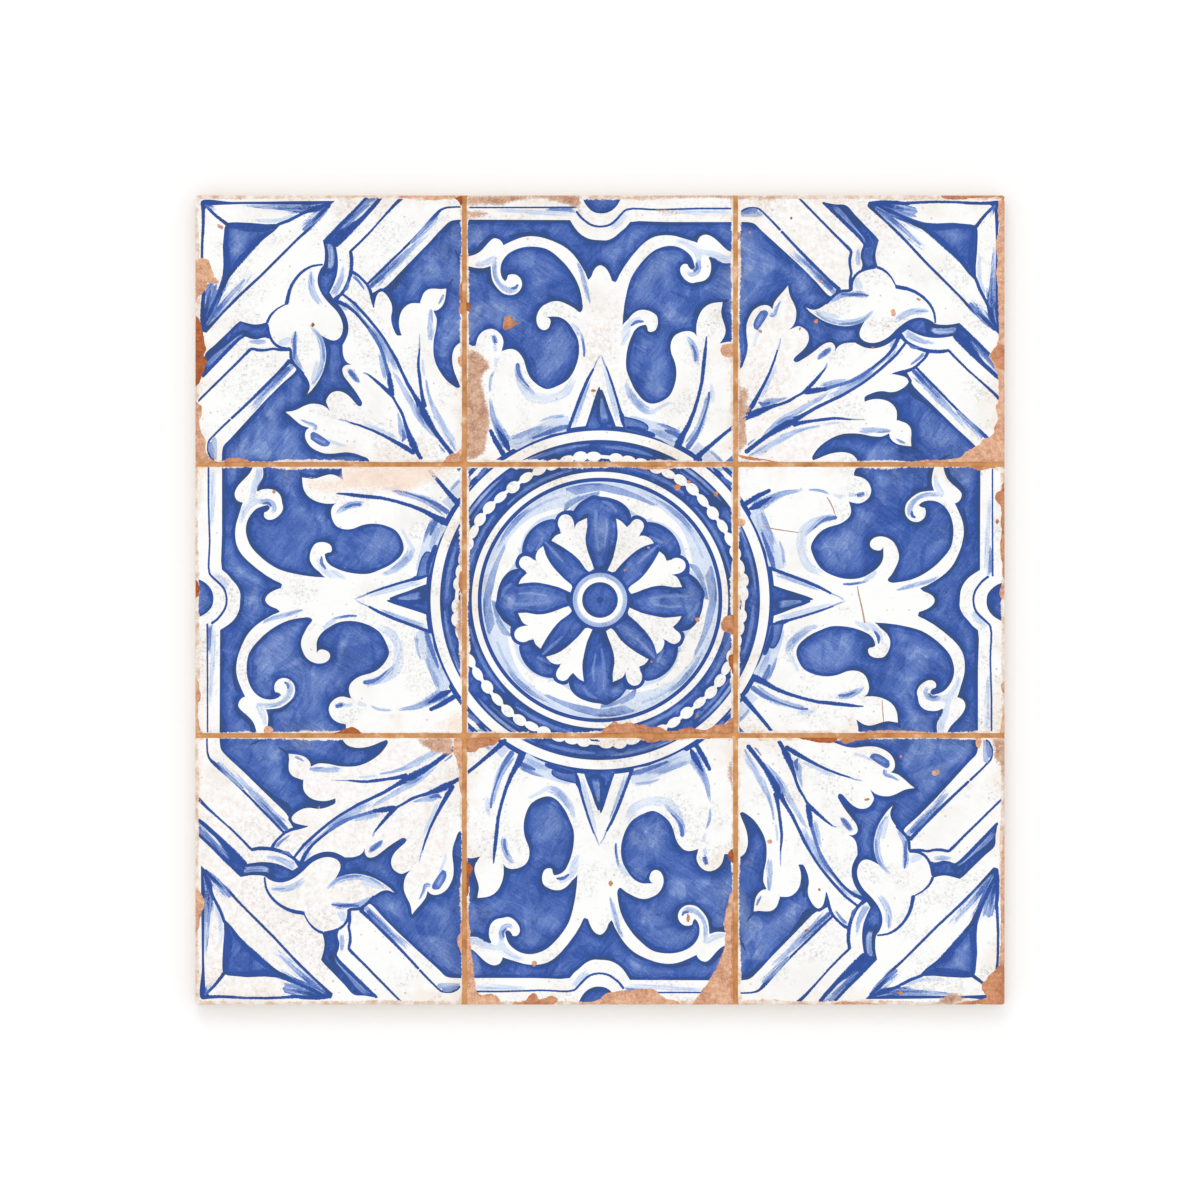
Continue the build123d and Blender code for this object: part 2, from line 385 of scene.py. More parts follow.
    # left side leaf edges
    yield from brushes("soft", [(-43, 93.6, 0.5), (-44.4, 91, 1), (-44.9, 87.5, 1), (-45, 84.5, 0.6)],
        [(-44.9, 83, 0.6), (-44.2, 78, 1.6), (-43, 73.5, 2.4), (-41, 69.4, 3), (-38.6, 65, 4),
         (-37.4, 61.5, 2.4)])
    yield from brushes("royal", [(-42, 70, 0.6), (-40, 66.6, 2.2), (-38, 63.4, 3), (-37.1, 61, 0.9)],
        [(-44.7, 69.2, 1.6), (-42.6, 64.8, 2.2), (-40, 60.4, 2.2), (-38.7, 58.4, 2.4)])
    # foot of the leaves along the rosette's rim
    yield area("pale",
        [(-36.6, 62.5), (-36.8, 66.3), (-33, 67.9), (-28, 70.2), (-22, 73.1), (-17, 74.6), (-13, 75.2)],
        [(-12.6, 69.6), (-20, 67.5), (-28, 64.3), (-34, 61.2)])
    yield brush("wash", (-36.6, 63.6, 1), (-31, 65.2, 2), (-24, 68.4, 2.4), (-18, 70.8, 1.6))
    yield from brushes("soft", [(-36.6, 65.4, 1.4), (-32, 67.4, 2.2), (-27, 69.6, 1.6), (-22, 71.4, 0.8)],
        [(-25, 73, 0.6), (-20, 74.6, 1.2), (-14, 75.4, 1)])
    yield brush("mid", (-27.5, 66, 0.7), (-21, 68.4, 2), (-16, 70.2, 2.4), (-13, 70.8, 1.8))
    yield area("pale", [(12.2, 74.9), (17, 74.3), (22.5, 72.7), (28, 71), (33.2, 68.4)],
        [(30.6, 62.6), (25, 65.2), (20, 67.2), (12, 69.4)])
    yield brush("wash", (20, 69.2, 0.8), (25, 68, 2.2), (30.4, 65.4, 2))
    yield brush("soft", (22.8, 72.3, 0.6), (27, 70.9, 1.3), (32.4, 68.2, 1.6))
    yield brush("mid", (26.6, 69.2, 1), (30, 68, 2), (33, 66.4, 2.2))
    yield area("mid", [(9.6, 74.8), (12.8, 73.9), (16, 73), (18.6, 71.9), (19.8, 70.2), (19.2, 69.2),
         (21, 68.7), (22.5, 67.7), (22.4, 66.4)], [(10.2, 69.6)])
    yield from brushes("royal", [(11, 70.4, 1.2), (15, 69.8, 2), (19.5, 68.1, 1.8), (22.2, 67, 1)],
        [(9.8, 74.7, 0.4), (13.5, 73.8, 0.5), (17, 72.7, 0.5), (19.5, 70.8, 0.5), (19.4, 69.4, 0.4)])
    # pointed spear in the middle
    yield brush("pale", (1.2, 95.5, 0.6), (3.8, 87, 1.8), (6, 79.5, 2.2), (8, 72.5, 2.4))
    yield brush("wash", (-3.8, 90, 0.5), (-6, 84.5, 1.2), (-9.5, 75.5, 1.8), (-10.4, 71.4, 1.8))
    yield brush("soft", (0.3, 100.2, 0.5), (1.6, 97, 0.6), (3.4, 92.4, 0.7), (5, 88, 0.9))
    yield brush("royal", (2.6, 95.2, 0.4), (5, 88, 0.9), (6.8, 82.2, 1), (8.2, 77.2, 1.2), (8.9, 75, 2),
        (9.2, 72.6, 1.2), (10.2, 69.8, 0.8))
    yield brush("soft", (0.1, 99.9, 0.4), (-1.4, 97.4, 0.5), (-2.8, 94, 0.6))
    yield brush("royal", (-2.7, 94.2, 0.9), (-5, 90, 1.3), (-7.6, 84, 1.4), (-10, 77.6, 1.3),
        (-12, 72.2, 1.4), (-13, 69, 1.6))
    yield area("ground", [(-0.3, 87), (-1.7, 84), (-3.1, 79.6), (-4.7, 74.5), (-6.4, 69.6)],
        [(6.9, 69.6)], [(5.4, 74), (3.6, 78.5), (2.1, 83), (0.8, 86)], [(0.25, 85.6)])
    yield brush("soft", (0.5, 83, 0.5), (0.9, 79, 1.6), (1.6, 74.5, 2.6), (1.4, 73.2, 2.4))
    # long strokes of the right-hand leaf
    yield area("royal", [(30.2, 62.6), (31.3, 64.8), (32, 66.6), (32.6, 67.9)], [(35, 69)], [(33, 62)])
    yield brush("royal", (32, 63.6, 3.4), (34, 67.6, 2.4), (36.2, 71.6, 1.9), (38.4, 77, 1.5),
        (40.2, 83, 1.4), (41.6, 89, 1.4), (42.2, 95, 1.7), (42.9, 101.5, 1.5), (43.3, 105, 0.9),
        (43.4, 107.4, 0.4))
    yield brush("wash", (35.4, 62.4, 3), (38.4, 66.6, 2.8), (41.2, 72, 2.4), (43.3, 79, 2.2),
        (44.6, 84.8, 1.6))
    yield brush("mid", (35.8, 62.2, 2.2), (38.8, 66.4, 2), (41, 71, 1.1), (43.4, 78, 0.6),
        (44.4, 82.6, 1.1), (44.5, 84.8, 0.7))
    yield brush("pale", (46.2, 80, 1), (46.1, 84.5, 1.4), (45, 88.4, 1))
    yield area("pale", [(37, 61), (40, 64.6)], [(42.6, 62)], [(39.6, 58.6)])
    yield area("pale", [(41.6, 56.6), (43.4, 60.4), (45, 61.4), (47.4, 60), (50, 57)], [(50, 55.6)],
        [(42, 55.6)])
    yield brush("soft", (44.6, 61, 0.6), (47.4, 58.6, 1.2), (49.4, 56.4, 1.2))
    yield brush("royal", (39, 57.4, 3), (42, 60.4, 2.2), (46, 63.8, 1.7), (50.5, 67.6, 1.5),
        (55, 71.2, 1.3))
    yield area("mid", [(50.4, 55.8), (52.4, 57.6), (55, 60)], [(55, 55.8)])
    # the leaf goes on across the joint towards the rosette
    yield area("wash", [(44.6, 54.6), (47.2, 52), (50.4, 52.8), (55, 49)], [(55, 54.6)])
    yield from brushes("royal", [(46.4, 53.6, 1), (48.6, 51.6, 1.8), (50.2, 50.2, 1.2)],
        [(50, 54.6, 1.4), (52, 52.8, 2), (54.4, 50.4, 1.6)])
    yield brush("mid", (49.8, 50, 1.6), (52, 48, 2), (54.4, 46.6, 1.6))


def cornerCell():
    # blue ground outside the eight-sided line, upper part
    yield area("ground",
        [(-88.3, 127.2), (-80, 135.3), (-70, 145.5), (-62.4, 153.6), (-60, 154.9), (-55, 155.2)],
        [(-55, 105)], [(-57, 104.9), (-59, 103.3), (-60, 101), (-60.3, 98), (-59.8, 94.5), (-58.8, 91.5),
         (-57.7, 89), (-57, 87)], [(-58, 86.5), (-60.5, 87.8), (-63, 90), (-65.2, 93), (-66.8, 96),
         (-67.8, 99.5), (-68, 103), (-67.7, 107), (-67, 110), (-66.7, 112.5), (-66.7, 115), (-68, 118)],
        [(-73.2, 121)], [(-77, 121), (-79.5, 119.6), (-81.1, 117.4), (-81.8, 115), (-82, 112.5),
         (-81.6, 110), (-80.9, 107.9)], [(-82.8, 108), (-84, 110), (-85, 113), (-85.2, 115.5),
         (-84.8, 118), (-85, 120.5), (-86.1, 123), (-87.6, 125), (-89, 125.8), (-90.4, 125.2),
         (-91.3, 123.5), (-92.2, 119.2)], [(-93.5, 123.6), (-93.2, 125)],
        [(-91.2, 126.2), (-89.6, 127.2)])
    # lower part, with the knot and the stem of the flower
    yield area("ground", [(-124, 93.8), (-130, 88), (-136, 82), (-142, 75.5), (-147, 70), (-151, 65.6),
         (-153.5, 63), (-154.2, 60), (-154.3, 55)], [(-94, 55)], [(-94.5, 57.5), (-97.5, 58.9),
         (-100.5, 59.9), (-104, 60.3), (-108, 59.8), (-112, 59.8), (-115, 60.7), (-118, 62.5),
         (-119.8, 65), (-120.3, 67.5), (-119.7, 69.3), (-118.6, 70.3)],
        [(-121.5, 71.2), (-124.3, 73.3), (-126.5, 75.3), (-128.3, 76.7)], [(-125.8, 77), (-123.5, 77.7),
         (-121, 79), (-118, 80), (-114.5, 79.8), (-112, 78.8), (-110.2, 77.2)], [(-111, 79), (-111.7, 81),
         (-111, 82.8), (-109.5, 84.5), (-107, 85.2), (-104.5, 84.6), (-102.2, 83), (-100.3, 80.9),
         (-98.8, 79.3), (-97.6, 79), (-97, 80.2), (-98, 82.4), (-100.5, 86.2), (-102.5, 88.8),
         (-104.2, 91), (-105, 93), (-104.9, 94.7), (-103.5, 95.8), (-101.3, 96)],
        [(-103, 96.8), (-104.3, 98.6), (-104.9, 101), (-105, 104)], [(-104.3, 105.2), (-103, 108),
         (-102.6, 111), (-103, 114), (-104.4, 117.4), (-106.8, 120.8), (-108.3, 122.3)],
        [(-110.3, 125.4)], [(-108.8, 128.5), (-107.5, 132), (-106.9, 136), (-107, 140), (-107.6, 143.8)],
        [(-113, 146.3)], [(-112.3, 143.2), (-112.3, 139.4), (-112.6, 137), (-114, 135), (-115.1, 132),
         (-115.1, 129), (-114.1, 126), (-112.5, 123.4), (-110.3, 120.8), (-107.8, 118.3), (-106, 115.5),
         (-105, 112.5), (-105, 109.8), (-106, 107.3), (-107.7, 106), (-109.6, 106), (-112, 107),
         (-114.6, 108.5)], [(-113, 106), (-112, 103), (-111.7, 100), (-112.2, 96), (-113.5, 92),
         (-115.5, 88.5), (-117.8, 85.4), (-119.4, 83.9)],
        [(-118.4, 86.5), (-118.6, 88.6), (-119.8, 91), (-121.8, 93.2), (-124.2, 95)])
    yield area("glaze", [(-73.2, 121), (-72.8, 123), (-71.8, 125.3), (-70, 126.7), (-67.5, 127),
         (-65, 126.8), (-62.7, 127)],
        [(-62.9, 125), (-63.4, 122), (-64.5, 119.8), (-66.3, 118.3), (-68, 118)])
    yield from brushes("navy", [(-62.8, 127.5, 1), (-61.4, 128.9, 0.9), (-60, 131, 0.3)],
        [(-59.1, 142.7, 0.4), (-58.2, 140.6, 0.9), (-57, 138.3, 0.8)])
    yield brush("soft", (-63.8, 124.8, 0.6), (-64.6, 122.8, 1), (-65.8, 120.6, 0.5))
    yield brush("wash", (-69.2, 118.4, 1.4), (-69, 114, 2), (-69.1, 109, 2), (-69.4, 105.3, 1.4))
    yield brush("soft", (-69, 118.3, 0.8), (-68.7, 115.5, 0.9), (-68.4, 113, 0.4))
    yield from brushes("navy",
        [(-87.2, 125.8, 0.6), (-84.5, 127.2, 2.4), (-81, 132, 1.4), (-77.5, 136, 0.6)],
        [(-83.3, 121, 1), (-82.9, 116.5, 1.8), (-83.2, 113, 1)])
    yield brush("royal", (-93.4, 125.6, 0.8), (-92.9, 123.2, 1.6), (-92.4, 120.6, 1))
    # corner panel
    yield area("royal", [(-162.6, 162.8), (-150, 162.4), (-138, 162.5), (-125, 162.7), (-108.2, 162.8)],
        [(-109.6, 161.4), (-112.4, 159.4)],
        [(-117, 160.3), (-124, 161.2), (-134, 161.4), (-146, 161.5), (-154, 161.2), (-159.8, 160.9)],
        [(-161, 159.4)], [(-162.6, 159)])
    yield brush("wash", (-146, 160.9, 0.6), (-136, 160.5, 1.4), (-125, 160, 2), (-116, 160, 1.6))
    yield brush("softFade", (-112, 160.4, 2.4), (-118, 159.6, 2.6), (-127, 159.4, 2.6),
        (-141, 160.4, 1.2))
    yield brush("royalFade", (-110.5, 161.2, 1.6), (-114, 160.2, 2.6), (-122, 159.4, 3.2),
        (-131, 160.2, 1.6))
    yield brush("royal", (-161.9, 160.5, 1.6), (-161.8, 155, 1.3), (-162, 149, 1.2))
    yield brush("royalThin", (-162, 150, 1.2), (-162.3, 145, 1.1), (-162.4, 136, 1.1), (-162, 125, 1.2))
    yield brush("softFade", (-161.4, 112, 1.6), (-160.4, 118, 3.4), (-158.8, 126, 5), (-157.4, 133, 5))
    yield brush("royalFade", (-161.4, 110.5, 1.6), (-160.6, 116, 3.4), (-159.6, 122, 4),
        (-158.6, 128.5, 3))
    yield brush("mid", (-159.3, 124.5, 0.5), (-159, 120, 1.6), (-160.4, 112.5, 1.4))
    yield brush("soft", (-156.5, 128.8, 0.5), (-157.6, 124, 1), (-159, 119, 1))
    yield brush("royal", (-161.6, 126.2, 1.2), (-162.1, 121, 1.6), (-162.3, 114.5, 1.7),
        (-161.8, 109.8, 1.4))
    yield area("ground", [(-152.2, 153.6), (-148, 154.1), (-142, 153.8), (-136, 153.3), (-129.9, 153.5)],
        [(-133, 150.3), (-138, 146.5), (-142, 142.5), (-146.2, 138.2), (-150, 133.6), (-152.2, 130.8)],
        [(-154.2, 130)], [(-153.6, 137), (-153.9, 144), (-153.2, 151.6)])
    yield from brushes("royal",
        [(-152.6, 151.5, 1.2), (-152.4, 144, 2.4), (-152, 137, 3.4), (-152.6, 132, 1.8)],
        [(-151, 152.4, 1.6), (-143, 151.8, 3.2), (-137, 151.4, 3), (-132.4, 152.4, 1.2)],
        [(-136, 149.6, 1.6), (-141, 144.8, 2.4), (-146.5, 139, 3), (-150.4, 134.3, 2.6),
         (-152.2, 131.5, 1.6)], [(-131.5, 153.1, 1.2), (-127, 154.7, 1.3), (-121.5, 157.6, 1.2),
         (-116, 159.8, 1.2), (-111.5, 161.4, 1.2)], [(-152.8, 132, 2.4), (-154.2, 127.8, 2.2),
         (-156.2, 123, 2), (-158.3, 118, 2.6), (-160.2, 113.5, 2.4), (-161.3, 109.6, 1.2)])
    yield brush("navy", (-148.6, 135.6, 0.6), (-151.4, 132.4, 1.6), (-153.6, 128, 1.4),
        (-155, 124.6, 0.8))
    yield brush("royal", (-160.6, 160.6, 0.8), (-157.5, 157.4, 1.2), (-155, 155.4, 1.4),
        (-152.2, 153.4, 1.6))
    yield brush("navy", (-156.6, 156.6, 0.5), (-154, 154.5, 0.9), (-151.8, 152.8, 1.1))
    yield brush("midFade", (-161, 161, 1), (-158.6, 159.6, 3), (-155.6, 158.8, 3.4))
    yield from brushes("royalThin",
        [(-110.5, 161.2, 2), (-113.5, 157.6, 1.6), (-117.5, 152.8, 1.3), (-121, 149.2, 1)],
        [(-120, 150.2, 1.1), (-124, 146.6, 1), (-130, 140.6, 1.1), (-138, 132.6, 1.1), (-146, 125.2, 1.2),
         (-154, 117.2, 1.2), (-161, 109.6, 1.6)])
    yield brush("softFade", (-111.6, 159.6, 1.6), (-115.5, 156.4, 3.2), (-119.5, 152.6, 3.4),
        (-125, 148.4, 2))
    yield brush("royalFade", (-110.8, 160.8, 1.2), (-113.6, 157.8, 2), (-117, 154.6, 1.8),
        (-121, 151, 1.2))
    yield brush("pale", (-141.5, 155, 0.8), (-135, 154.6, 1.6), (-129.5, 155.2, 1.2), (-124, 158, 1.4))
    yield brush("washFade", (-160, 112.6, 1.2), (-154.5, 119.6, 3), (-147.5, 127.6, 3),
        (-139, 137.4, 1.6))
    yield from brushes("midFade",
        [(-160.4, 112, 0.8), (-156.6, 117.4, 2.2), (-151, 124, 1.8), (-145, 130.6, 0.8)],
        [(-158, 116.6, 0.8), (-155.2, 123.6, 1.6), (-152, 128.6, 1.4), (-147.6, 133.8, 0.6)])
    # straps on the upper side
    yield area("soft", [(-112.6, 146), (-106, 153.2), (-100, 159), (-95, 164.3)], [(-88.6, 164.3)],
        [(-92, 159.7), (-97, 154), (-103, 148.4), (-107.6, 143.8)])
    yield brush("pale", (-101.5, 154.5, 0.6), (-98, 156.6, 1.8), (-93.5, 160.6, 2), (-90.6, 163.4, 1.2))
    yield brush("royalFade", (-110.4, 145, 5.4), (-106.6, 149, 5.2), (-101.5, 153.6, 4.6), (-95, 160, 3))
    yield from brushes("royal",
        [(-112.4, 146.2, 1.6), (-106, 153, 1.5), (-100, 159, 1.3), (-95.2, 164.2, 1.2)],
        [(-107.6, 144.6, 1.8), (-104.6, 148.4, 3.4), (-100, 152.6, 2.6), (-96, 156.6, 1.6),
         (-92, 161, 1.8), (-89.4, 164.2, 1.6)])
    yield brush("soft", (-106.5, 150.6, 0.8), (-102, 154.4, 0.8), (-96, 160, 0.8), (-93.5, 162.6, 1.2))
    yield brush("royal", (-95.4, 164.3, 0.7), (-88.8, 164.3, 0.8))
    yield brush("royalThin", (-101.6, 142.4, 1.1), (-98, 145.8, 1), (-92.6, 151.3, 0.9))
    yield brush("royal", (-93, 151, 0.7), (-88.2, 156.4, 0.9), (-84.2, 160.8, 1.3), (-80.6, 164.2, 1.6))
    yield brush("navy", (-84, 161.4, 0.5), (-81.6, 163.6, 0.9))
    yield brush("wash", (-93, 127.4, 3), (-88, 132.4, 2.6), (-82, 138.2, 2.2), (-76, 144, 1.9),
        (-70, 149.8, 1.2))
    yield brush("soft", (-93.2, 128, 1.4), (-90, 131.3, 1), (-85, 136, 0.5))
    yield brush("royal", (-94.8, 129, 1), (-90, 133.6, 1.1), (-84, 139.5, 1.1), (-79.5, 143.8, 0.8))
    yield brush("royalThin", (-80, 143.4, 1), (-76, 147.3, 1), (-71.5, 151.9, 1.2), (-67.4, 156.6, 1.6),
        (-64.8, 159.2, 1), (-61.5, 160.2, 0.7), (-55, 160.3, 0.7))
    yield brush("soft", (-69.6, 153, 0.6), (-66.4, 155.8, 0.8))
    # straps on the lower side
    yield area("ground", [(-161, 100.4), (-157, 104.2), (-152, 109), (-148.6, 112.4), (-146.8, 113.8)],
        [(-144, 113), (-141, 112.4), (-138, 112.7), (-135.7, 113.4)],
        [(-135.3, 111.4), (-134.9, 109), (-134, 106.3)],
        [(-137, 107), (-140, 106.3), (-143, 106.7), (-145, 107.4)],
        [(-147.5, 106), (-152, 101.4), (-158, 95.2), (-162.4, 90.4)], [(-161.4, 96)])
    yield area("glaze", [(-144.8, 107.3), (-142.5, 106.6), (-140, 106.3), (-137, 107)],
        [(-136, 106.9), (-134.4, 104), (-133.8, 102.6)],
        [(-136, 102), (-139, 101.9), (-142.6, 102.5), (-144.4, 101.4)], [(-148, 104.4)])
    yield brush("soft", (-161, 94.5, 2), (-157, 99, 2.2), (-153, 102.6, 1), (-148, 107, 0.7),
        (-145, 109, 0.5))
    yield brush("royal", (-162, 91.2, 1.2), (-158, 95.6, 1.5), (-152, 101.8, 1.6), (-147.6, 106.2, 1.4),
        (-145, 107.8, 0.8))
    yield brush("wash", (-143.5, 105.3, 0.8), (-139.5, 105.2, 1.6), (-136, 105.4, 0.9))
    yield brush("royalThin", (-164.2, 80.9, 0.9), (-158, 87, 1), (-152, 92.9, 1), (-148.6, 96.2, 1.1))
    yield brush("royal", (-149, 95.8, 1), (-145.6, 99.3, 1.2), (-143.4, 101.5, 1.4), (-142.2, 102.4, 1.2),
        (-139, 101.9, 1.3), (-136, 102, 1.1), (-133.4, 102.5, 1.1), (-130.5, 102, 1.2),
        (-126.5, 102.2, 1.4))
    yield brush("wash", (-125.6, 95.6, 2), (-130, 91.2, 2.4), (-136, 85, 2.2), (-142, 77.6, 1.6))
    yield brush("soft", (-125.6, 95.4, 1.4), (-129.5, 91.8, 1.8), (-134, 87, 0.8))
    yield brush("royal", (-126.6, 97.6, 1.8), (-131, 92.8, 1.4), (-137, 86.9, 1.3), (-143, 80.9, 1.2),
        (-150.3, 74.1, 1.1))
    yield brush("royalThin", (-151, 73.5, 1), (-155, 69.7, 0.9), (-158.6, 66, 0.8), (-159.6, 64.6, 0.8),
        (-159.9, 61, 0.8), (-158.9, 58.4, 0.9), (-157.6, 57.2, 0.8))
    yield area("soft", [(-159.6, 64), (-157.8, 64.4), (-156.8, 61), (-157, 57.4)],
        [(-158.4, 58), (-159.8, 61)])
    yield area("wash", [(-158, 66.4), (-156.6, 66), (-156.2, 61), (-156.4, 57)],
        [(-157.2, 57.4), (-157.4, 62), (-158.6, 64.6)])
    # knot
    yield brush("wash", (-110.3, 145.4, 2), (-109.7, 141, 2), (-109.8, 137, 2), (-110.4, 134.5, 1))
    yield brush("soft", (-110.6, 145, 0.6), (-110, 140, 0.8), (-110.4, 136.6, 0.6))
    yield brush("navy", (-112.2, 145.8, 1), (-111.6, 142.6, 1.4), (-111.5, 139, 1.5), (-112, 135.6, 2),
        (-112.8, 132.6, 1.2))
    yield brush("wash", (-104.9, 137, 0.6), (-105.2, 132.5, 1.8), (-107, 127.8, 2.4),
        (-109.2, 123.8, 2.4))
    yield brush("royal", (-101.8, 142.2, 1.4), (-101.3, 139, 1.6), (-101.5, 135, 1.6), (-102.3, 131, 1.5),
        (-104, 127, 1.4), (-106, 124.3, 1.4), (-108.2, 122.4, 2))
    yield from brushes("navy", [(-101.7, 141.6, 0.6), (-101.3, 138.6, 1)],
        [(-105.4, 116, 0.8), (-103.8, 111.4, 1.6), (-104.6, 107, 1)],
        [(-104, 90, 0.6), (-102, 87, 1.2), (-99.8, 83.8, 0.7)])
    yield brush("royal", (-101.8, 134, 1.8), (-99.6, 133.1, 1.2), (-97, 130.8, 1.1), (-94.6, 128, 1.2),
        (-93.4, 125, 1.4), (-92.8, 122, 1), (-92.3, 119.4, 0.5))
    yield brush("soft", (-100.8, 132.4, 1.4), (-98.4, 129.9, 1), (-95.8, 126.4, 0.6))
    yield brush("mid", (-103, 130, 0.8), (-103, 127.6, 1.4), (-104.2, 126, 0.8))
    yield brush("wash", (-106.4, 121, 1), (-104.5, 119.4, 1.8), (-103, 118, 0.8))
    yield from brushes("midFade",
        [(-93.6, 127.8, 1.6), (-90, 131.4, 2.4), (-85, 136.2, 2), (-78, 143, 1.2)],
        [(-127, 94.6, 1.6), (-130.4, 91.6, 2.4), (-135.6, 86.4, 2), (-142.6, 79.4, 1.2)])
    yield brush("softFade", (-77, 145.8, 1), (-72, 150.6, 2.2), (-67, 155.4, 2.6), (-61, 158.4, 1.6))
    # flower lobes
    yield from brushes("royal", [(-113.2, 136.8, 0.7), (-117, 136.3, 0.9), (-120.5, 134.6, 1.1),
         (-123.5, 131.8, 1.2), (-125.8, 128.3, 1.3), (-127, 125, 1.6), (-127.8, 120.9, 1.7)],
        [(-128.2, 120.7, 0.5), (-131, 119.2, 0.6), (-133.5, 117.1, 0.9), (-135, 115, 1.1),
         (-135.7, 113.2, 1.2)])
    yield brush("wash", (-118, 134.2, 1), (-117.8, 130.5, 2.2), (-117.4, 127, 2.2), (-115.6, 122.6, 2.2),
        (-114, 120.2, 1.6))
    yield brush("soft", (-117.8, 133.8, 0.6), (-118, 130.5, 1.1), (-117.6, 128, 0.8))
    yield brush("royal", (-135.6, 112.4, 0.8), (-135, 109, 0.9), (-133.9, 106, 1.1), (-132, 103.9, 1.1),
        (-129.8, 102.8, 1.1), (-126.4, 102.5, 1.2))
    yield brush("navy", (-126.3, 102.2, 1), (-126, 99.4, 1.4), (-125.9, 96.4, 1.2))
    yield brush("pale", (-131.5, 104.8, 1), (-129.2, 104.9, 2.6), (-126.8, 106, 2.4))
    yield brush("wash", (-124, 110.2, 1.4), (-124.6, 106.5, 2.2), (-124.7, 102.5, 2), (-124.3, 98.6, 1.8),
        (-122.8, 96, 1.4), (-120.8, 92.6, 0.8))
    yield brush("mid", (-124.2, 109.4, 0.6), (-124.7, 106, 1.2), (-124.5, 102, 1.3), (-124.8, 98.4, 0.8))
    yield brush("royal", (-126, 98.6, 1), (-124.7, 96, 1.2), (-123, 94.2, 1.3), (-121, 92.2, 1.2))
    yield brush("wash", (-118.2, 111.6, 0.9), (-115.2, 108.6, 1.8), (-113.5, 104.4, 2), (-113, 99.4, 2.1),
        (-113.8, 94.6, 2), (-115.4, 91, 1.6), (-117.6, 87, 1))
    yield brush("soft", (-117.6, 111, 0.6), (-114.4, 107.5, 1), (-112.8, 102.5, 1), (-112.6, 97.5, 0.8))
    yield brush("pale", (-115.4, 98, 1.2), (-116.2, 93, 1.6), (-117.4, 88.6, 1))
    # big lower lobe
    yield brush("soft", (-122.6, 73.9, 0.6), (-119.4, 72.3, 1), (-116.2, 70.8, 1.4), (-116.6, 68.6, 0.9))
    yield area("mid", [(-118.1, 67.8), (-117, 68.6), (-115.4, 68), (-112, 65.8), (-109.9, 64.4)],
        [(-110.8, 62.9), (-112.6, 62.6), (-115.2, 63.6), (-118, 65.6)])
    yield brush("soft", (-116.8, 66.4, 1.2), (-114, 65, 1.4), (-111.6, 64, 1))
    yield brush("pale", (-111.5, 65.6, 0.8), (-106, 63.2, 1.2), (-103, 62.8, 0.8))
    # long ribs of the leaf
    yield brush("wash", (-103.2, 121.6, 2), (-99.4, 117.9, 1.8), (-94.4, 112.4, 2.2), (-90, 107, 3),
        (-87, 101.5, 3), (-84.4, 96.5, 2.2), (-82, 91.4, 1.4))
    yield brush("glaze", (-98.6, 117.9, 0.4), (-95, 113.8, 0.9), (-92.4, 110.6, 0.4))
    yield brush("wash", (-89.6, 101, 1.6), (-88.3, 95, 2), (-87.4, 90, 1.4))
    yield brush("glaze", (-86.2, 98, 0.5), (-84.2, 92.5, 1.3), (-82.6, 88, 0.8))
    yield from brushes("royal", [(-105.2, 124.9, 1), (-100, 120.9, 1.2), (-95, 115.4, 1.2),
         (-91, 110.6, 1.1), (-88.4, 107, 1), (-86, 103.2, 1.1), (-83.4, 98.6, 1.4), (-80.8, 93, 1.3),
         (-78.4, 88, 1.5), (-76, 84, 1.6), (-73.4, 79.4, 2.6), (-71.9, 76.4, 3.6), (-69.8, 72.6, 3),
         (-67.4, 68.8, 2.1), (-64.5, 64.8, 1.9), (-62, 61.6, 1.9), (-60.4, 59.6, 2)], [(-107.4, 122, 1.8),
         (-104, 120.4, 1.6), (-100, 117.4, 1.2), (-97, 114, 1.1), (-94.4, 110.8, 1.1),
         (-92.6, 108.8, 0.7)])
    yield brush("mid", (-94.5, 110.6, 1), (-92, 107.6, 1.9), (-90, 104, 1.7), (-88.3, 99.6, 1.3),
        (-87, 95, 1.5), (-86, 91.4, 2))
    yield brush("royal", (-86, 92.4, 1.2), (-85.7, 89, 2.4), (-85.1, 86, 2.4), (-84.6, 83.6, 1.6))
    yield brush("soft", (-97, 92.8, 0.4), (-95, 92.2, 0.8), (-93, 90.8, 0.9))
    yield brush("royal", (-94.6, 92, 0.4), (-91.6, 89.6, 1.2), (-88.6, 87, 1.6), (-86, 84.6, 1.9),
        (-84.4, 82.6, 1.1), (-83, 80, 1), (-81.4, 77.4, 1.3), (-80, 74, 1.2), (-79, 70.6, 1.5),
        (-77.8, 67, 2.6), (-76.2, 63.4, 3.4), (-74.6, 60.4, 2), (-73, 57.6, 1.6))
    yield brush("wash", (-82.6, 77, 0.6), (-81.6, 73, 1.4), (-80.6, 68.6, 2.6), (-79.8, 65.6, 1.6))
    yield brush("mid", (-80.6, 69.4, 0.8), (-79.8, 66.6, 1.8), (-80.6, 64.8, 0.8))
    yield brush("soft", (-107.4, 73.6, 0.4), (-104.4, 73.3, 0.6), (-101.6, 72.3, 0.7))
    yield brush("royal", (-102, 72.4, 0.6), (-98, 71.2, 0.9), (-93, 69.3, 1), (-88, 66.9, 1.2),
        (-83.6, 64.6, 1.7), (-79.5, 62.3, 2.2), (-76, 59.9, 1.6))
    yield brush("pale", (-97, 72.2, 0.5), (-91.6, 70.2, 1.4), (-86, 67.7, 1.4), (-82, 65.9, 0.8))
    yield brush("wash", (-85.4, 94, 0.5), (-82.4, 90, 1.4), (-79.4, 84.6, 1.7), (-76.6, 79.8, 1.9),
        (-74.6, 75.6, 1.8), (-71.6, 71.4, 1.4), (-67, 66.2, 1))
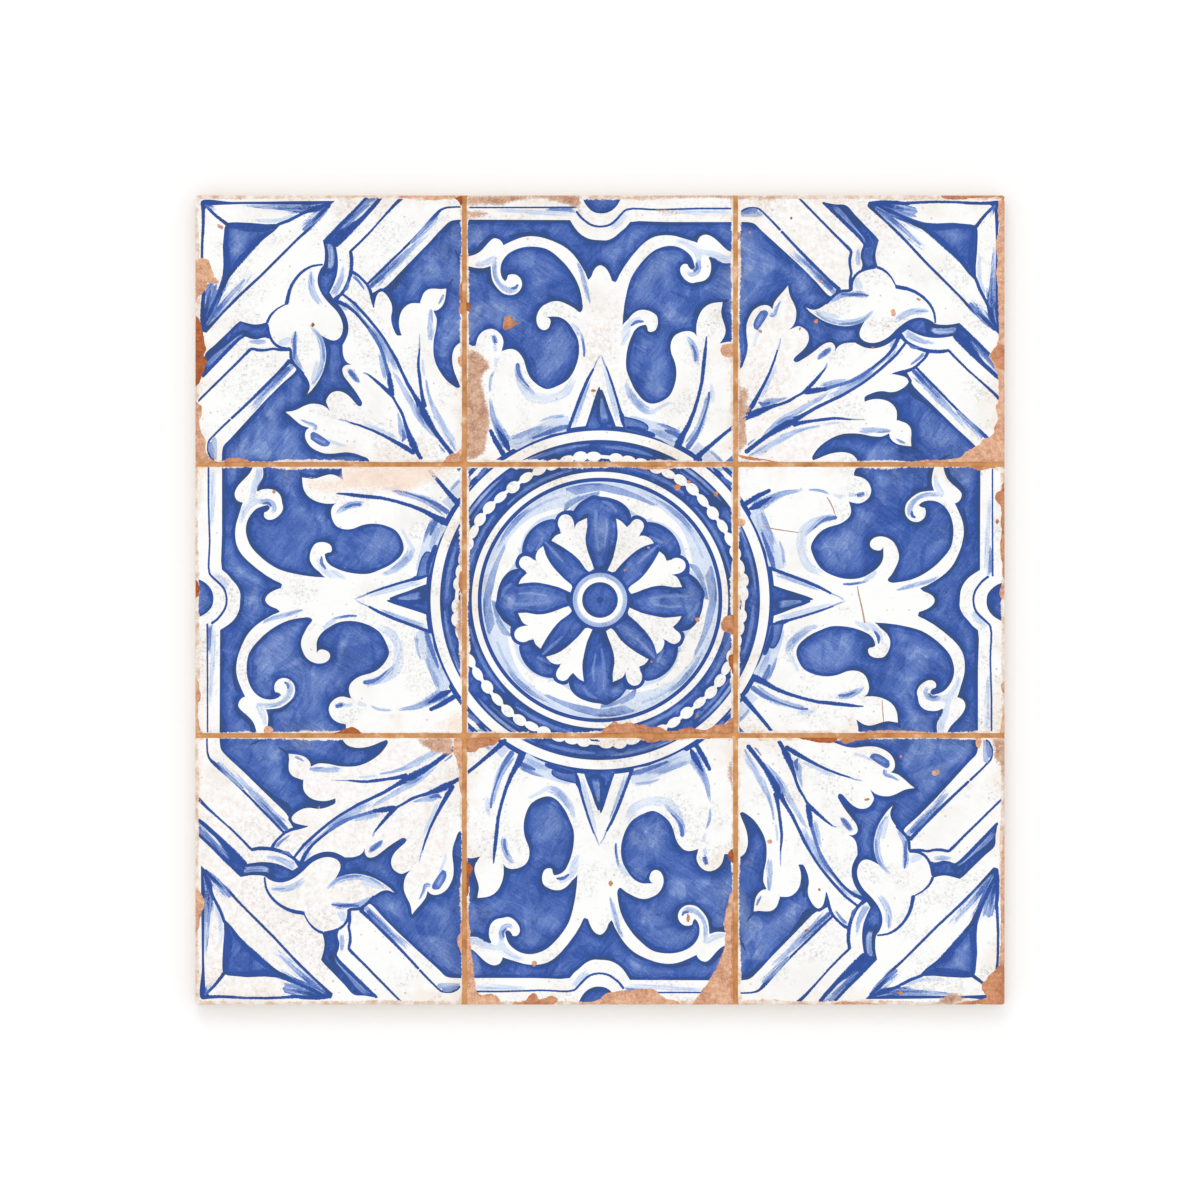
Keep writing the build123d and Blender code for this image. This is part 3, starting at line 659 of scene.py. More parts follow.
    yield from brushes("soft", [(-74.8, 79.4, 1.8), (-74, 76, 1.2), (-71.6, 72, 0.7)],
        [(-73.6, 109, 0.4), (-73.6, 104, 0.5), (-73.8, 100, 0.6)])
    yield brush("royal", (-73.6, 102.4, 0.5), (-74, 98.6, 1), (-74.1, 95, 1.2), (-73.6, 91, 1.4),
        (-73.1, 87, 1.2), (-72.5, 83, 1.6), (-71.6, 79, 2.2))
    yield brush("pale", (-72.4, 99, 0.6), (-72.2, 95, 1), (-71.4, 91, 0.8))
    yield brush("wash", (-71, 90, 0.8), (-70.4, 85.4, 1), (-68.8, 80.6, 1.5), (-66.4, 75, 2.2),
        (-63.6, 70, 2.6), (-60.6, 65.4, 3), (-58.4, 61.6, 2.6))
    yield from brushes("soft", [(-70.9, 89.6, 0.6), (-70, 84.6, 0.7), (-68, 78.6, 0.8)],
        [(-63.4, 68.6, 0.5), (-60.8, 64.8, 0.6), (-59, 61, 0.6)],
        [(-66, 63.6, 0.4), (-64.2, 61.2, 0.7), (-63, 60, 0.5)],
        [(-103, 94.4, 1), (-101.4, 92.8, 2), (-99.4, 90, 2), (-98, 88.4, 1)])
    yield brush("mid", (-102, 93, 0.6), (-100.2, 91, 1.2), (-99, 89.4, 0.6))


quarterTurn = np.array([[0, -1], [1, 0]])


def painting():
    # every stroke is laid four times, a quarter turn apart, in the painter's order
    for piece in (rosette, scrollCell, cornerCell):
        for tone, outline, spine in piece():
            for quarter in range(4):
                yield tone, outline, spine
                outline = outline @ quarterTurn
                if spine is not None:
                    spine = np.column_stack([spine[:, :2] @ quarterTurn, spine[:, 2]])


# the vector noise starts from the clock unless it is seeded, and with this seed the mesh is closed
noise.seed_set(7)


def ragged(kind, *points):  # a worn spot with a broken edge
    line = smoothRun(list(points) + [points[0]])[:-1]
    ends = np.vstack([line, line[:1]])
    steps = np.hypot(*np.diff(ends, axis=0).T)
    total = np.concatenate([[0], np.cumsum(steps)])
    count = max(8, round(total[-1] / 0.6))
    at = np.arange(count) * total[-1] / count
    line = np.column_stack([np.interp(at, total, ends[:, 0]), np.interp(at, total, ends[:, 1])])
    for point in line:
        x, y = point
        bend = noise.noise_vector(Vector((x * 0.55, y * 0.55, 0))) * 0.4
        crumble = noise.noise_vector(Vector((x * 1.9, y * 1.9, 5))) * 0.22
        point += (bend + crumble)[:2]
    return kind, line


def blob(kind, x, y, acrossX, acrossY=None):  # a small round chip
    acrossY = acrossY or acrossX
    rim = []
    for a in np.radians(np.arange(0, 360, 40)):
        r = 0.5 + 0.22 * noise.noise(Vector((x + 1.3 * math.cos(a), y + 1.3 * math.sin(a), 2)))
        rim.append((x + acrossX * r * math.cos(a), y + acrossY * r * math.sin(a)))
    return ragged(kind, *rim)


def wear():
    # dusty stretches of glaze
    yield ragged("dust", (-165, -56.2), (-110, -56.2), (-56.2, -56.2), (-58, -90), (-66, -112),
        (-84, -128), (-110, -140), (-112, -165), (-140, -165), (-165, -165), (-165, -110))
    yield ragged("dust", (-54.4, 165), (-54.4, 150), (-20, 154), (0, 148), (20, 154), (54.4, 152),
        (54.4, 165))
    yield ragged("dust", (56.2, 165), (110, 165), (128, 150), (116, 138), (100, 128), (96, 110), (80, 84),
        (100, 70), (90, 56.2), (56.2, 56.2))
    yield ragged("dust", (-6, 126), (8, 126), (10, 112), (8, 96), (6, 84), (-6, 84), (-9, 98), (-8, 112))
    # north cell
    yield ragged("tan", (-54.4, 102), (-51, 102), (-48, 100.5), (-46, 98), (-44.5, 95), (-47.3, 91.6),
        (-47, 86), (-46.4, 82), (-45, 77), (-44.6, 72.5), (-45.7, 66), (-47, 60), (-50, 57.6),
        (-54.4, 57))
    yield ragged("terracotta", (-39.5, 113.5), (-38.5, 115.5), (-37, 116), (-35.5, 114.5), (-34.8, 113.4),
        (-32, 113.2), (-34.5, 112), (-36.5, 110.8), (-38.5, 110.2), (-39.6, 111))
    yield blob("terracotta", -2.6, 85.5, 2, 1.4)
    yield blob("tan", -43.9, 83.6, 1.4, 2.2)
    yield blob("tan", -47.3, 87.8, 1.4, 1.6)
    yield ragged("peach", (49.6, 104.2), (54.4, 104.4), (54.4, 99.2), (51.4, 99), (49.4, 101))
    yield ragged("rust", (-54.4, 122), (-53.2, 121), (-52.6, 119.4), (-53.6, 117.9), (-54.4, 117.5))
    yield ragged("tan", (-54.4, 165), (-54.4, 160.7), (-48, 160.9), (-40, 160.7), (-35, 162),
        (-30, 163.4), (-23, 163.4), (-19, 162.4), (-14, 161), (-9, 159), (-8.4, 156), (-7, 157),
        (-7.6, 161), (-8.2, 165))
    yield ragged("tan", (-54.4, 159), (-54.4, 155.6), (-49, 155.8), (-45, 157.2), (-46, 158.6),
        (-50, 159.3))
    yield ragged("tan", (8.6, 165), (9, 163.6), (20, 163.9), (32, 163.5), (44, 164), (54.4, 163.6),
        (54.4, 165))
    yield ragged("tan", (22, 159.6), (24, 157.4), (28, 156.8), (33, 157.4), (32, 158.6), (27, 159.4))
    # north-west cell
    yield ragged("peach", (-165, 138.5), (-162, 139.6), (-160, 138.5), (-158.3, 135.5), (-157.4, 132.4),
        (-156.2, 130.6), (-155.4, 129.7), (-157.6, 129), (-160, 129.4), (-160, 127.4), (-161.2, 126),
        (-162.5, 124.5), (-164, 124), (-165, 121))
    yield ragged("rust", (-165, 116), (-163.8, 115.2), (-162.5, 112), (-161.8, 108), (-160.9, 103.5),
        (-160.9, 101.2), (-161.6, 99.6), (-160.2, 97.4), (-161, 95.8), (-162, 92), (-163.3, 89),
        (-165, 87))
    yield ragged("peach", (-165, 81.5), (-162.5, 78.5), (-162.7, 75), (-163.5, 72), (-162.7, 68.5),
        (-160.7, 65), (-161, 61), (-158.8, 57.8), (-156, 56.3), (-160, 56.2), (-165, 56.2))
    yield ragged("terracotta", (-153.8, 56.2), (-152, 57.7), (-149, 58.1), (-146, 57.9), (-144, 57),
        (-142, 56.2))
    yield ragged("peach", (-74, 165), (-72, 163.6), (-67, 163.2), (-63, 163.7), (-61, 165))
    yield ragged("rust", (-60.4, 165), (-58.6, 163.6), (-56.6, 160.8), (-56.2, 163), (-56.2, 165))
    yield ragged("peach", (-82, 165), (-82, 164.2), (-76, 164.1), (-66, 164.3), (-60, 164.2),
        (-56.2, 165))
    yield ragged("peach", (-56.2, 99.6), (-57.8, 99.2), (-58, 96.5), (-56.2, 95))
    yield ragged("terracotta", (-56.2, 130), (-57.4, 128), (-57.1, 122), (-57.5, 117.5), (-56.2, 116))
    yield ragged("peach", (-64, 56.2), (-62.6, 58.4), (-60, 60), (-58, 60.4), (-56.2, 62.4),
        (-56.2, 56.2))
    yield blob("rust", -117.3, 112.4, 1.5)
    yield ragged("peach", (-156.2, 153.6), (-154.6, 153.2), (-153.6, 152), (-153.8, 151), (-155, 151.6),
        (-156, 152.6))
    # middle cell
    yield blob("terracotta", 31.6, 46.1, 2.8)
    yield blob("terracotta", 36.2, 48.4, 1.5)
    yield blob("terracotta", 47.5, 43.3, 1.6, 2.4)
    yield blob("terracotta", 10, 12.4, 1.2)
    yield blob("peach", 19.8, 21.4, 0.9)
    yield ragged("peach", (14, 54.4), (16, 53.6), (22, 53.2), (28, 53.6), (30, 54.4))
    yield ragged("terracotta", (54.4, -6), (52, -6.2), (50, -8), (49.3, -10), (49.8, -12), (51.5, -13),
        (54.4, -14))
    yield ragged("rust", (54.4, -22), (53, -22.2), (52.4, -24), (52.8, -26.5), (53.6, -28.7),
        (54.4, -30.8))
    yield blob("terracotta", 39.6, -8.1, 1.8)
    yield blob("terracotta", 39.7, -47.3, 1.3)
    yield blob("peach", 20.9, -25.3, 1)
    yield ragged("terracotta", (0, -54.4), (1.5, -52.4), (3.2, -51.5), (5.5, -49.6), (9, -50.6),
        (11, -49.8), (15, -50.8), (18, -50.7), (20, -52), (24, -51.8), (28, -53.4), (32, -53),
        (36.5, -51.8), (42, -53.2), (44.5, -52.5), (47, -51), (51, -50.2), (54.4, -47.8), (54.4, -54.4))

    # north-east cell
    yield ragged("tan", (56.2, 165), (56.2, 162.4), (58, 162.6), (60, 164), (64, 163.8), (68, 163.2),
        (72, 163.5), (76, 164.3), (82, 165))
    yield ragged("peach", (162.5, 163), (162.3, 158), (163, 152), (162, 148), (161.6, 143), (162.3, 138),
        (161.6, 134), (162.2, 128), (162.4, 120), (162.8, 112), (162.6, 107), (161.5, 103.5),
        (159.8, 101.5), (158.4, 99.5), (159.5, 97.5), (161, 95), (162.3, 92), (162.6, 86), (162.5, 81),
        (161.3, 78.5), (162.1, 76), (162.2, 73), (160.8, 70.5), (160.5, 68), (158.5, 66.4), (156.8, 65.8),
        (155.3, 64), (153, 62.4), (151, 61.4), (149, 60.4), (148, 58.8), (145, 57.8), (141, 57.3),
        (136, 57.3), (131, 56.9), (127, 56.2), (146, 56.2), (165, 56.2), (165, 80), (165, 110),
        (165, 140), (165, 163))
    yield ragged("terracotta", (165, 104), (162.5, 104), (160.4, 101.6), (159.2, 99.6), (160.3, 97.6),
        (162.2, 95), (165, 94))
    yield ragged("terracotta", (139, 165), (140, 163.9), (146, 163.4), (152, 164), (158, 164.1),
        (163, 164.3), (164.4, 162.5), (165, 165))
    yield ragged("tan", (56.2, 88), (58, 87.4), (60, 86.4), (60.8, 84.4), (61, 82), (60.2, 80.5),
        (61.4, 79), (60.4, 76), (59.6, 73), (60.1, 69), (60, 66), (60.6, 64.8), (59.3, 62.4), (57.4, 60),
        (56.2, 58.4))
    yield ragged("peach", (56.2, 150.2), (57.3, 149.6), (57.2, 147.6), (56.2, 147))
    yield ragged("terracotta", (56.2, 59.4), (57.6, 58), (61, 57.2), (66, 56.9), (73, 56.2))
    yield blob("rust", 78.2, 155.8, 1.1)
    yield blob("peach", 61.1, 150, 1)
    yield blob("terracotta", 65.4, 109.5, 1.9, 1.4)
    yield blob("terracotta", 88.2, 113.6, 1.8)
    yield blob("terracotta", 81.6, 110.6, 1.2)
    yield blob("peach", 119.6, 117, 2.4, 3)
    yield blob("peach", 130, 122.7, 1.8, 1)
    yield blob("terracotta", 111.5, 103, 1.3)
    yield blob("peach", 90.5, 129.8, 1.7, 1)
    # east cell
    yield ragged("terracotta", (165, 48), (163.9, 47.4), (163.5, 45), (161.8, 44.2), (161.3, 42),
        (162, 39.6), (163.2, 38.4), (163.7, 35), (163.3, 32), (164, 28), (163.4, 24), (163.1, 20),
        (163.6, 17), (164.3, 14), (164.2, 10), (165, 8))
    yield blob("terracotta", 162, 32, 0.9, 2)
    yield ragged("peach", (165, 6.2), (163.4, 4.6), (163.2, 2.4), (164, 0.6), (165, 0))
    yield ragged("peach", (165, -33), (163.5, -34.5), (164, -37), (165, -38.5))
    yield ragged("peach", (165, -43), (164.2, -46), (163.8, -50), (163.2, -54.4), (165, -54.4))
    yield ragged("terracotta", (151, 54.4), (152.4, 53.3), (156, 53.1), (160, 53.7), (162, 54.4))
    yield ragged("peach", (56.2, 33.4), (58, 32.8), (59.4, 32), (58.2, 30.2), (56.2, 30.6))
    yield ragged("peach", (107, -54.4), (110, -53.4), (118, -53.1), (126, -53.3), (132, -53.7),
        (135, -54.4))
    yield blob("rust", 113.9, -52, 1.1)
    yield blob("tint", 77.6, 18.2, 2.6, 3.4)
    for crack in ([(92.5, 42, 0.2), (93.6, 40.4, 0.4), (95, 37.5, 0.35), (96, 34.5, 0.2)],
                  [(105, 5.6, 0.25), (105.6, 2, 0.45), (106.8, -3, 0.5), (108, -9.3, 0.6)],
                  [(115.1, -41, 0.2), (115.3, -45, 0.35), (115.7, -49.5, 0.2)],
                  [(66, 30, 0.2), (72, 28.8, 0.3), (81, 27.5, 0.2)]):
        yield "crack", brush("navy", *crack)[1]
    # south cell
    yield ragged("terracotta", (-54.4, -56.2), (-40.4, -56.2), (-41.5, -57.8), (-43.5, -59.5),
        (-45.5, -59.4), (-47, -60.3), (-49.5, -60.6), (-51, -61.8), (-54.4, -62))
    yield ragged("terracotta", (15, -56.2), (18, -57.5), (20.5, -58.3), (23, -57.9), (26, -57.3),
        (29, -57.6), (32, -56.9), (38, -56.2))
    yield ragged("tan", (54.4, -65), (52.8, -66), (52, -69), (51.9, -72), (53, -75), (54.4, -78))
    yield ragged("rust", (54.4, -101.4), (52.8, -102.3), (52, -104), (53, -106), (54.4, -107.5))
    yield ragged("peach", (54.4, -118), (53.6, -119), (52.6, -121.5), (52.3, -124), (51.5, -127),
        (50.9, -130), (50.4, -133), (51.2, -136), (50.9, -139), (50.6, -142), (49.5, -145), (48.4, -148),
        (47, -151), (45, -154.3), (43.4, -157), (41.4, -159.5), (40, -161.5), (38.5, -163.5),
        (37.4, -165), (46, -165), (54.4, -165), (54.4, -150), (54.4, -134))
    yield ragged("terracotta", (54.4, -125), (53.6, -130), (53.4, -140), (53.6, -150), (53.2, -160),
        (54.4, -163))
    yield ragged("rust", (-54.4, -106.5), (-53, -108), (-52, -110), (-52.8, -111.6), (-53.5, -114),
        (-53.4, -118), (-54.4, -121))
    yield ragged("peach", (-54.4, -122.5), (-53.8, -126), (-53.4, -131), (-52.9, -135), (-52.8, -140),
        (-52.2, -146), (-51.5, -151), (-51, -156), (-50, -160), (-48.5, -161), (-44, -160.6),
        (-41.5, -162.5), (-40.5, -164), (-41, -165), (-54.4, -165), (-54.4, -145))
    yield ragged("terracotta", (-36, -165), (-34.5, -163.7), (-32, -164.2), (-30, -162.8), (-29, -161.6),
        (-27.5, -160.4), (-26, -161.2), (-25.3, -162.6), (-22, -162.3), (-19.5, -161.3), (-17.5, -162.1),
        (-17, -163.5), (-19, -165))
    yield ragged("peach", (-10, -165), (-7, -164), (-2, -163.6), (1, -162), (3, -160.4), (6, -159.7),
        (9, -159.2), (13, -159), (17, -158.5), (20, -158.6), (23, -159.4), (24.5, -161.2), (27, -162.8),
        (31, -163.2), (32.5, -165), (12, -165))
    yield blob("terracotta", 4.4, -115.6, 1.8, 2)
    yield blob("peach", -26.9, -148.2, 2, 2.6)
    yield blob("terracotta", 36, -129.6, 1.6, 3.6)
    yield blob("tan", 38, -135, 0.8, 3.8)
    yield ragged("tint", (-49.6, -93), (-46, -94), (-43, -92.6), (-43.4, -95.4), (-47.5, -96.4))
    # west cell
    yield ragged("rust", (-165, 8.6), (-164, 7.5), (-163.2, 5), (-163.6, 2.4), (-165, 1))
    yield ragged("peach", (-165, -31.5), (-163.8, -33), (-163.5, -36), (-162.8, -38.5), (-163, -41),
        (-164, -42.5), (-164, -47), (-163.2, -52), (-162.5, -54.4), (-165, -54.4))
    yield ragged("tint", (-165, 54.4), (-162, 54.4), (-161.4, 49), (-162.6, 42), (-165, 38))
    yield ragged("rust", (-109, -54.4), (-106, -53.2), (-102.5, -52), (-100.5, -51.9), (-98.5, -53),
        (-97.4, -54.4))
    yield ragged("peach", (-137, -54.4), (-136.7, -52), (-134, -51.8), (-133.7, -54.4))
    yield ragged("tint", (-56.2, -45), (-59, -44.6), (-61.4, -46.4), (-64, -48.6), (-67.6, -50.6),
        (-70, -52.6), (-70, -54.4), (-56.2, -54.4))
    yield ragged("terracotta", (-56.2, 12.2), (-57.3, 11), (-57.6, 6), (-56.2, 2.2))
    yield ragged("tan", (-56.2, 0), (-58.4, 0.4), (-59, -3), (-58.2, -8), (-59.2, -11), (-58.8, -14),
        (-57.5, -16), (-56.2, -17))
    yield ragged("tint", (-122, 50), (-119, 45), (-112, 43), (-104, 44.4), (-92, 43.4), (-80, 43),
        (-70, 47), (-62, 52), (-60, 54.4), (-104, 54.4), (-107, 50.6))
    yield blob("peach", -133, 44.3, 1.4)
    yield blob("tan", -125, 42.2, 2, 1.3)
    yield blob("tint", -112.7, -2.2, 2.6)
    # south-west cell
    yield ragged("peach", (-165, -118), (-163, -119), (-162, -121), (-161.2, -124), (-162.4, -127),
        (-163, -130), (-163.8, -134), (-165, -136))
    yield ragged("tint", (-165, -60), (-162.4, -61), (-162, -72), (-163, -84), (-165, -86))
    yield ragged("tan", (-75.5, -56.2), (-74.5, -58), (-72, -60), (-69.5, -61.8), (-67, -62.6),
        (-64, -63), (-61.8, -63.8), (-60.3, -62.6), (-59.4, -60), (-59.6, -56.2))
    yield ragged("peach", (-59.4, -56.2), (-60, -62), (-58.6, -65), (-58, -68), (-57.4, -71),
        (-57.5, -76), (-56.2, -80), (-56.2, -68), (-56.2, -56.2))
    yield ragged("peach", (-56.2, -131), (-57.2, -132.6), (-56.8, -135.5), (-58.2, -138), (-57.7, -141.5),
        (-56.2, -144))
    yield blob("tint", -114.5, -86, 3.6)
    yield blob("tint", -117, -143.5, 4, 3)
    # south-east cell
    yield ragged("rust", (80, -56.2), (84, -57), (88, -57.9), (92, -58.4), (96, -58), (97, -56.2))
    yield ragged("terracotta", (96.5, -56.2), (98, -57.4), (99.5, -58.5), (102, -58.2), (105, -57.3),
        (109, -56.9), (113, -56.2))
    yield ragged("peach", (153.3, -56.2), (153.6, -60), (154.8, -60.7), (155.5, -56.2))
    yield ragged("tan", (159.5, -56.2), (160.3, -60), (160.2, -63.5), (161.3, -66.5), (163, -68),
        (163.5, -71), (164.3, -73.5), (165, -78), (165, -56.2))
    yield ragged("peach", (165, -93), (164.3, -96), (163.8, -103), (163.6, -110), (163.4, -118),
        (163.8, -126), (163.3, -132), (163.5, -140), (163, -146), (162.8, -149), (165, -149))
    yield ragged("tan", (136.5, -165), (137.8, -163.3), (140, -161.5), (142.5, -160.3), (145, -160),
        (147.5, -160.8), (149, -162.3), (149.8, -163.8), (147, -165))
    yield ragged("terracotta", (165, -148.4), (162.5, -149.3), (161, -151), (158.8, -153),
        (157.4, -155.5), (156, -156.3), (155.7, -158.3), (156.8, -160.5), (157.6, -162.2), (154.8, -163),
        (150, -163.6), (146, -164.4), (144.6, -165), (155, -165), (165, -165))
    yield ragged("peach", (95, -165), (97, -164), (104, -163.8), (110, -164.2), (114, -165))
    yield blob("peach", 137, -70.4, 3, 2.4)
    yield blob("terracotta", 122.8, -63.7, 1.4, 0.9)
    yield blob("terracotta", 109, -81.4, 2.3, 1.1)
    yield blob("peach", 69.2, -98.5, 2.4, 1.8)
    yield blob("terracotta", 89.3, -118.3, 1)
    yield blob("terracotta", 84.3, -135, 1.4)
    yield blob("terracotta", 122.3, -160.2, 3, 1.3)
    yield blob("tint", 84.4, -69, 2, 3)


# Pressed shape

cellSide = (tile["side"] - (tile["cellsPerSide"] - 1) * tile["jointWidth"]) / tile["cellsPerSide"]
cellPitch = cellSide + tile["jointWidth"]
halfSide = tile["side"] / 2


def cellEdgeDistance(x, y):  # how far inside its cell a point lies; below zero in a joint
    u = np.minimum(np.abs(x), np.abs(np.abs(x) - cellPitch))
    v = np.minimum(np.abs(y), np.abs(np.abs(y) - cellPitch))
    inner = cellSide / 2 - tile["cornerRadius"]
    du = u - inner
    dv = v - inner
    beyond = np.hypot(np.maximum(du, 0), np.maximum(dv, 0)) + np.minimum(np.maximum(du, dv), 0)
    return tile["cornerRadius"] - beyond


def faceHeight(x, y):  # flat cells with rounded-over edges, standing above the joints' floor
    d = cellEdgeDistance(x, y)
    r = tile["edgeRadius"]
    drop = r - np.sqrt(np.maximum(r * r - (r - np.clip(d, 0, r)) ** 2, 0))
    return np.where(d > -0.02, tile["thickness"] - drop, tile["thickness"] - tile["jointDepth"])


def cellLoop(centreX, centreY, inset, step=3.0):
    # a rounded square parallel to a cell's edge
    reach = cellSide / 2 - inset
    radius = tile["cornerRadius"] - inset
    start = reach - max(radius, 0)
    count = round(2 * start / step)
    along = np.linspace(-start, start, count + 1)
    quarter = [(a, reach) for a in along[::-1]]
    if radius > 0.05:
        for turn in (math.pi / 6, math.pi / 3):
            quarter.append((-start - radius * math.sin(turn), start + radius * math.cos(turn)))
    else:
        quarter = quarter[:-1]
    loop = []
    for corner in range(4):
        loop += quarter
        quarter = [(-y, x) for x, y in quarter]
    return np.array(loop) + (centreX, centreY)


def insideOutline(points, outline):  # winding number test
    x = points[:, 0]
    y = points[:, 1]
    winding = np.zeros(len(points), int)
    nextOnes = np.roll(outline, -1, axis=0)
    for (ax, ay), (bx, by) in zip(outline, nextOnes):
        side = (bx - ax) * (y - ay) - (by - ay) * (x - ax)
        winding += ((ay <= y) & (by > y) & (side > 0)).astype(int)
        winding -= ((ay > y) & (by <= y) & (side < 0)).astype(int)
    return winding != 0


def topmost(points, shapes):  # the shape that covers each point and the one under that, -1 for none
    cover = np.full(len(points), -1)
    under = np.full(len(points), -1)
    for k, shape in enumerate(shapes):
        outline = shape[1]
        low = outline.min(axis=0)
        high = outline.max(axis=0)
        near = np.nonzero(((points >= low) & (points <= high)).all(axis=1))[0]
        if len(near):
            hit = near[insideOutline(points[near], outline)]
            under[hit] = cover[hit]
            cover[hit] = k
    return cover, under


def strokePlaces(points, spine):  # across a brush stroke from -1 to 1, along it in mm, and its length
    steps = np.hypot(*np.diff(spine[:, :2], axis=0).T)
    total = np.concatenate([[0], np.cumsum(steps)])
    at = np.linspace(0, total[-1], max(2, math.ceil(total[-1] / 0.2)))
    x, y, width = (np.interp(at, total, spine[:, i]) for i in range(3))
    run = np.gradient(np.column_stack([x, y]), axis=0)
    run /= np.maximum(np.linalg.norm(run, axis=1), 1e-9)[:, None]
    offsets = points[:, None, :] - np.column_stack([x, y])[None, :, :]
    nearest = np.argmin((offsets**2).sum(axis=2), axis=1)
    offset = offsets[np.arange(len(points)), nearest]
    aside = run[nearest, 0] * offset[:, 1] - run[nearest, 1] * offset[:, 0]
    across = np.clip(aside / np.maximum(width[nearest] / 2, 0.05), -1, 1)
    return across, at[nearest], total[-1]


def nearestDistances(points, targets):  # from each point to the closest target
    tree = kdtree.KDTree(len(targets))
    for i, (x, y) in enumerate(targets):
        tree.insert((x, y, 0), i)
    tree.balance()
    return np.array([tree.find((x, y, 0))[2] for x, y in points])


class Net:  # points and edges that the triangles have to keep
    def __init__(self):
        self.points = []
        self.edges = []

    def loop(self, outline):
        # long edges are parted, so that values kept at their points don't run right across a field
        following = np.roll(outline, -1, axis=0)
        parted = []
        for a, b in zip(outline, following):
            parts = max(1, round(math.dist(a, b) / net["longestEdge"]))
            parted += [a + (b - a) * i / parts for i in range(parts)]
        outline = np.array(parted)
        first = len(self.points)
        n = len(outline)
        self.points += outline.tolist()
        self.edges += [(first + i, first + (i + 1) % n) for i in range(n)]

    def edge(self, a, b):
        first = len(self.points)
        self.points += [a, b]
        self.edges.append((first, first + 1))


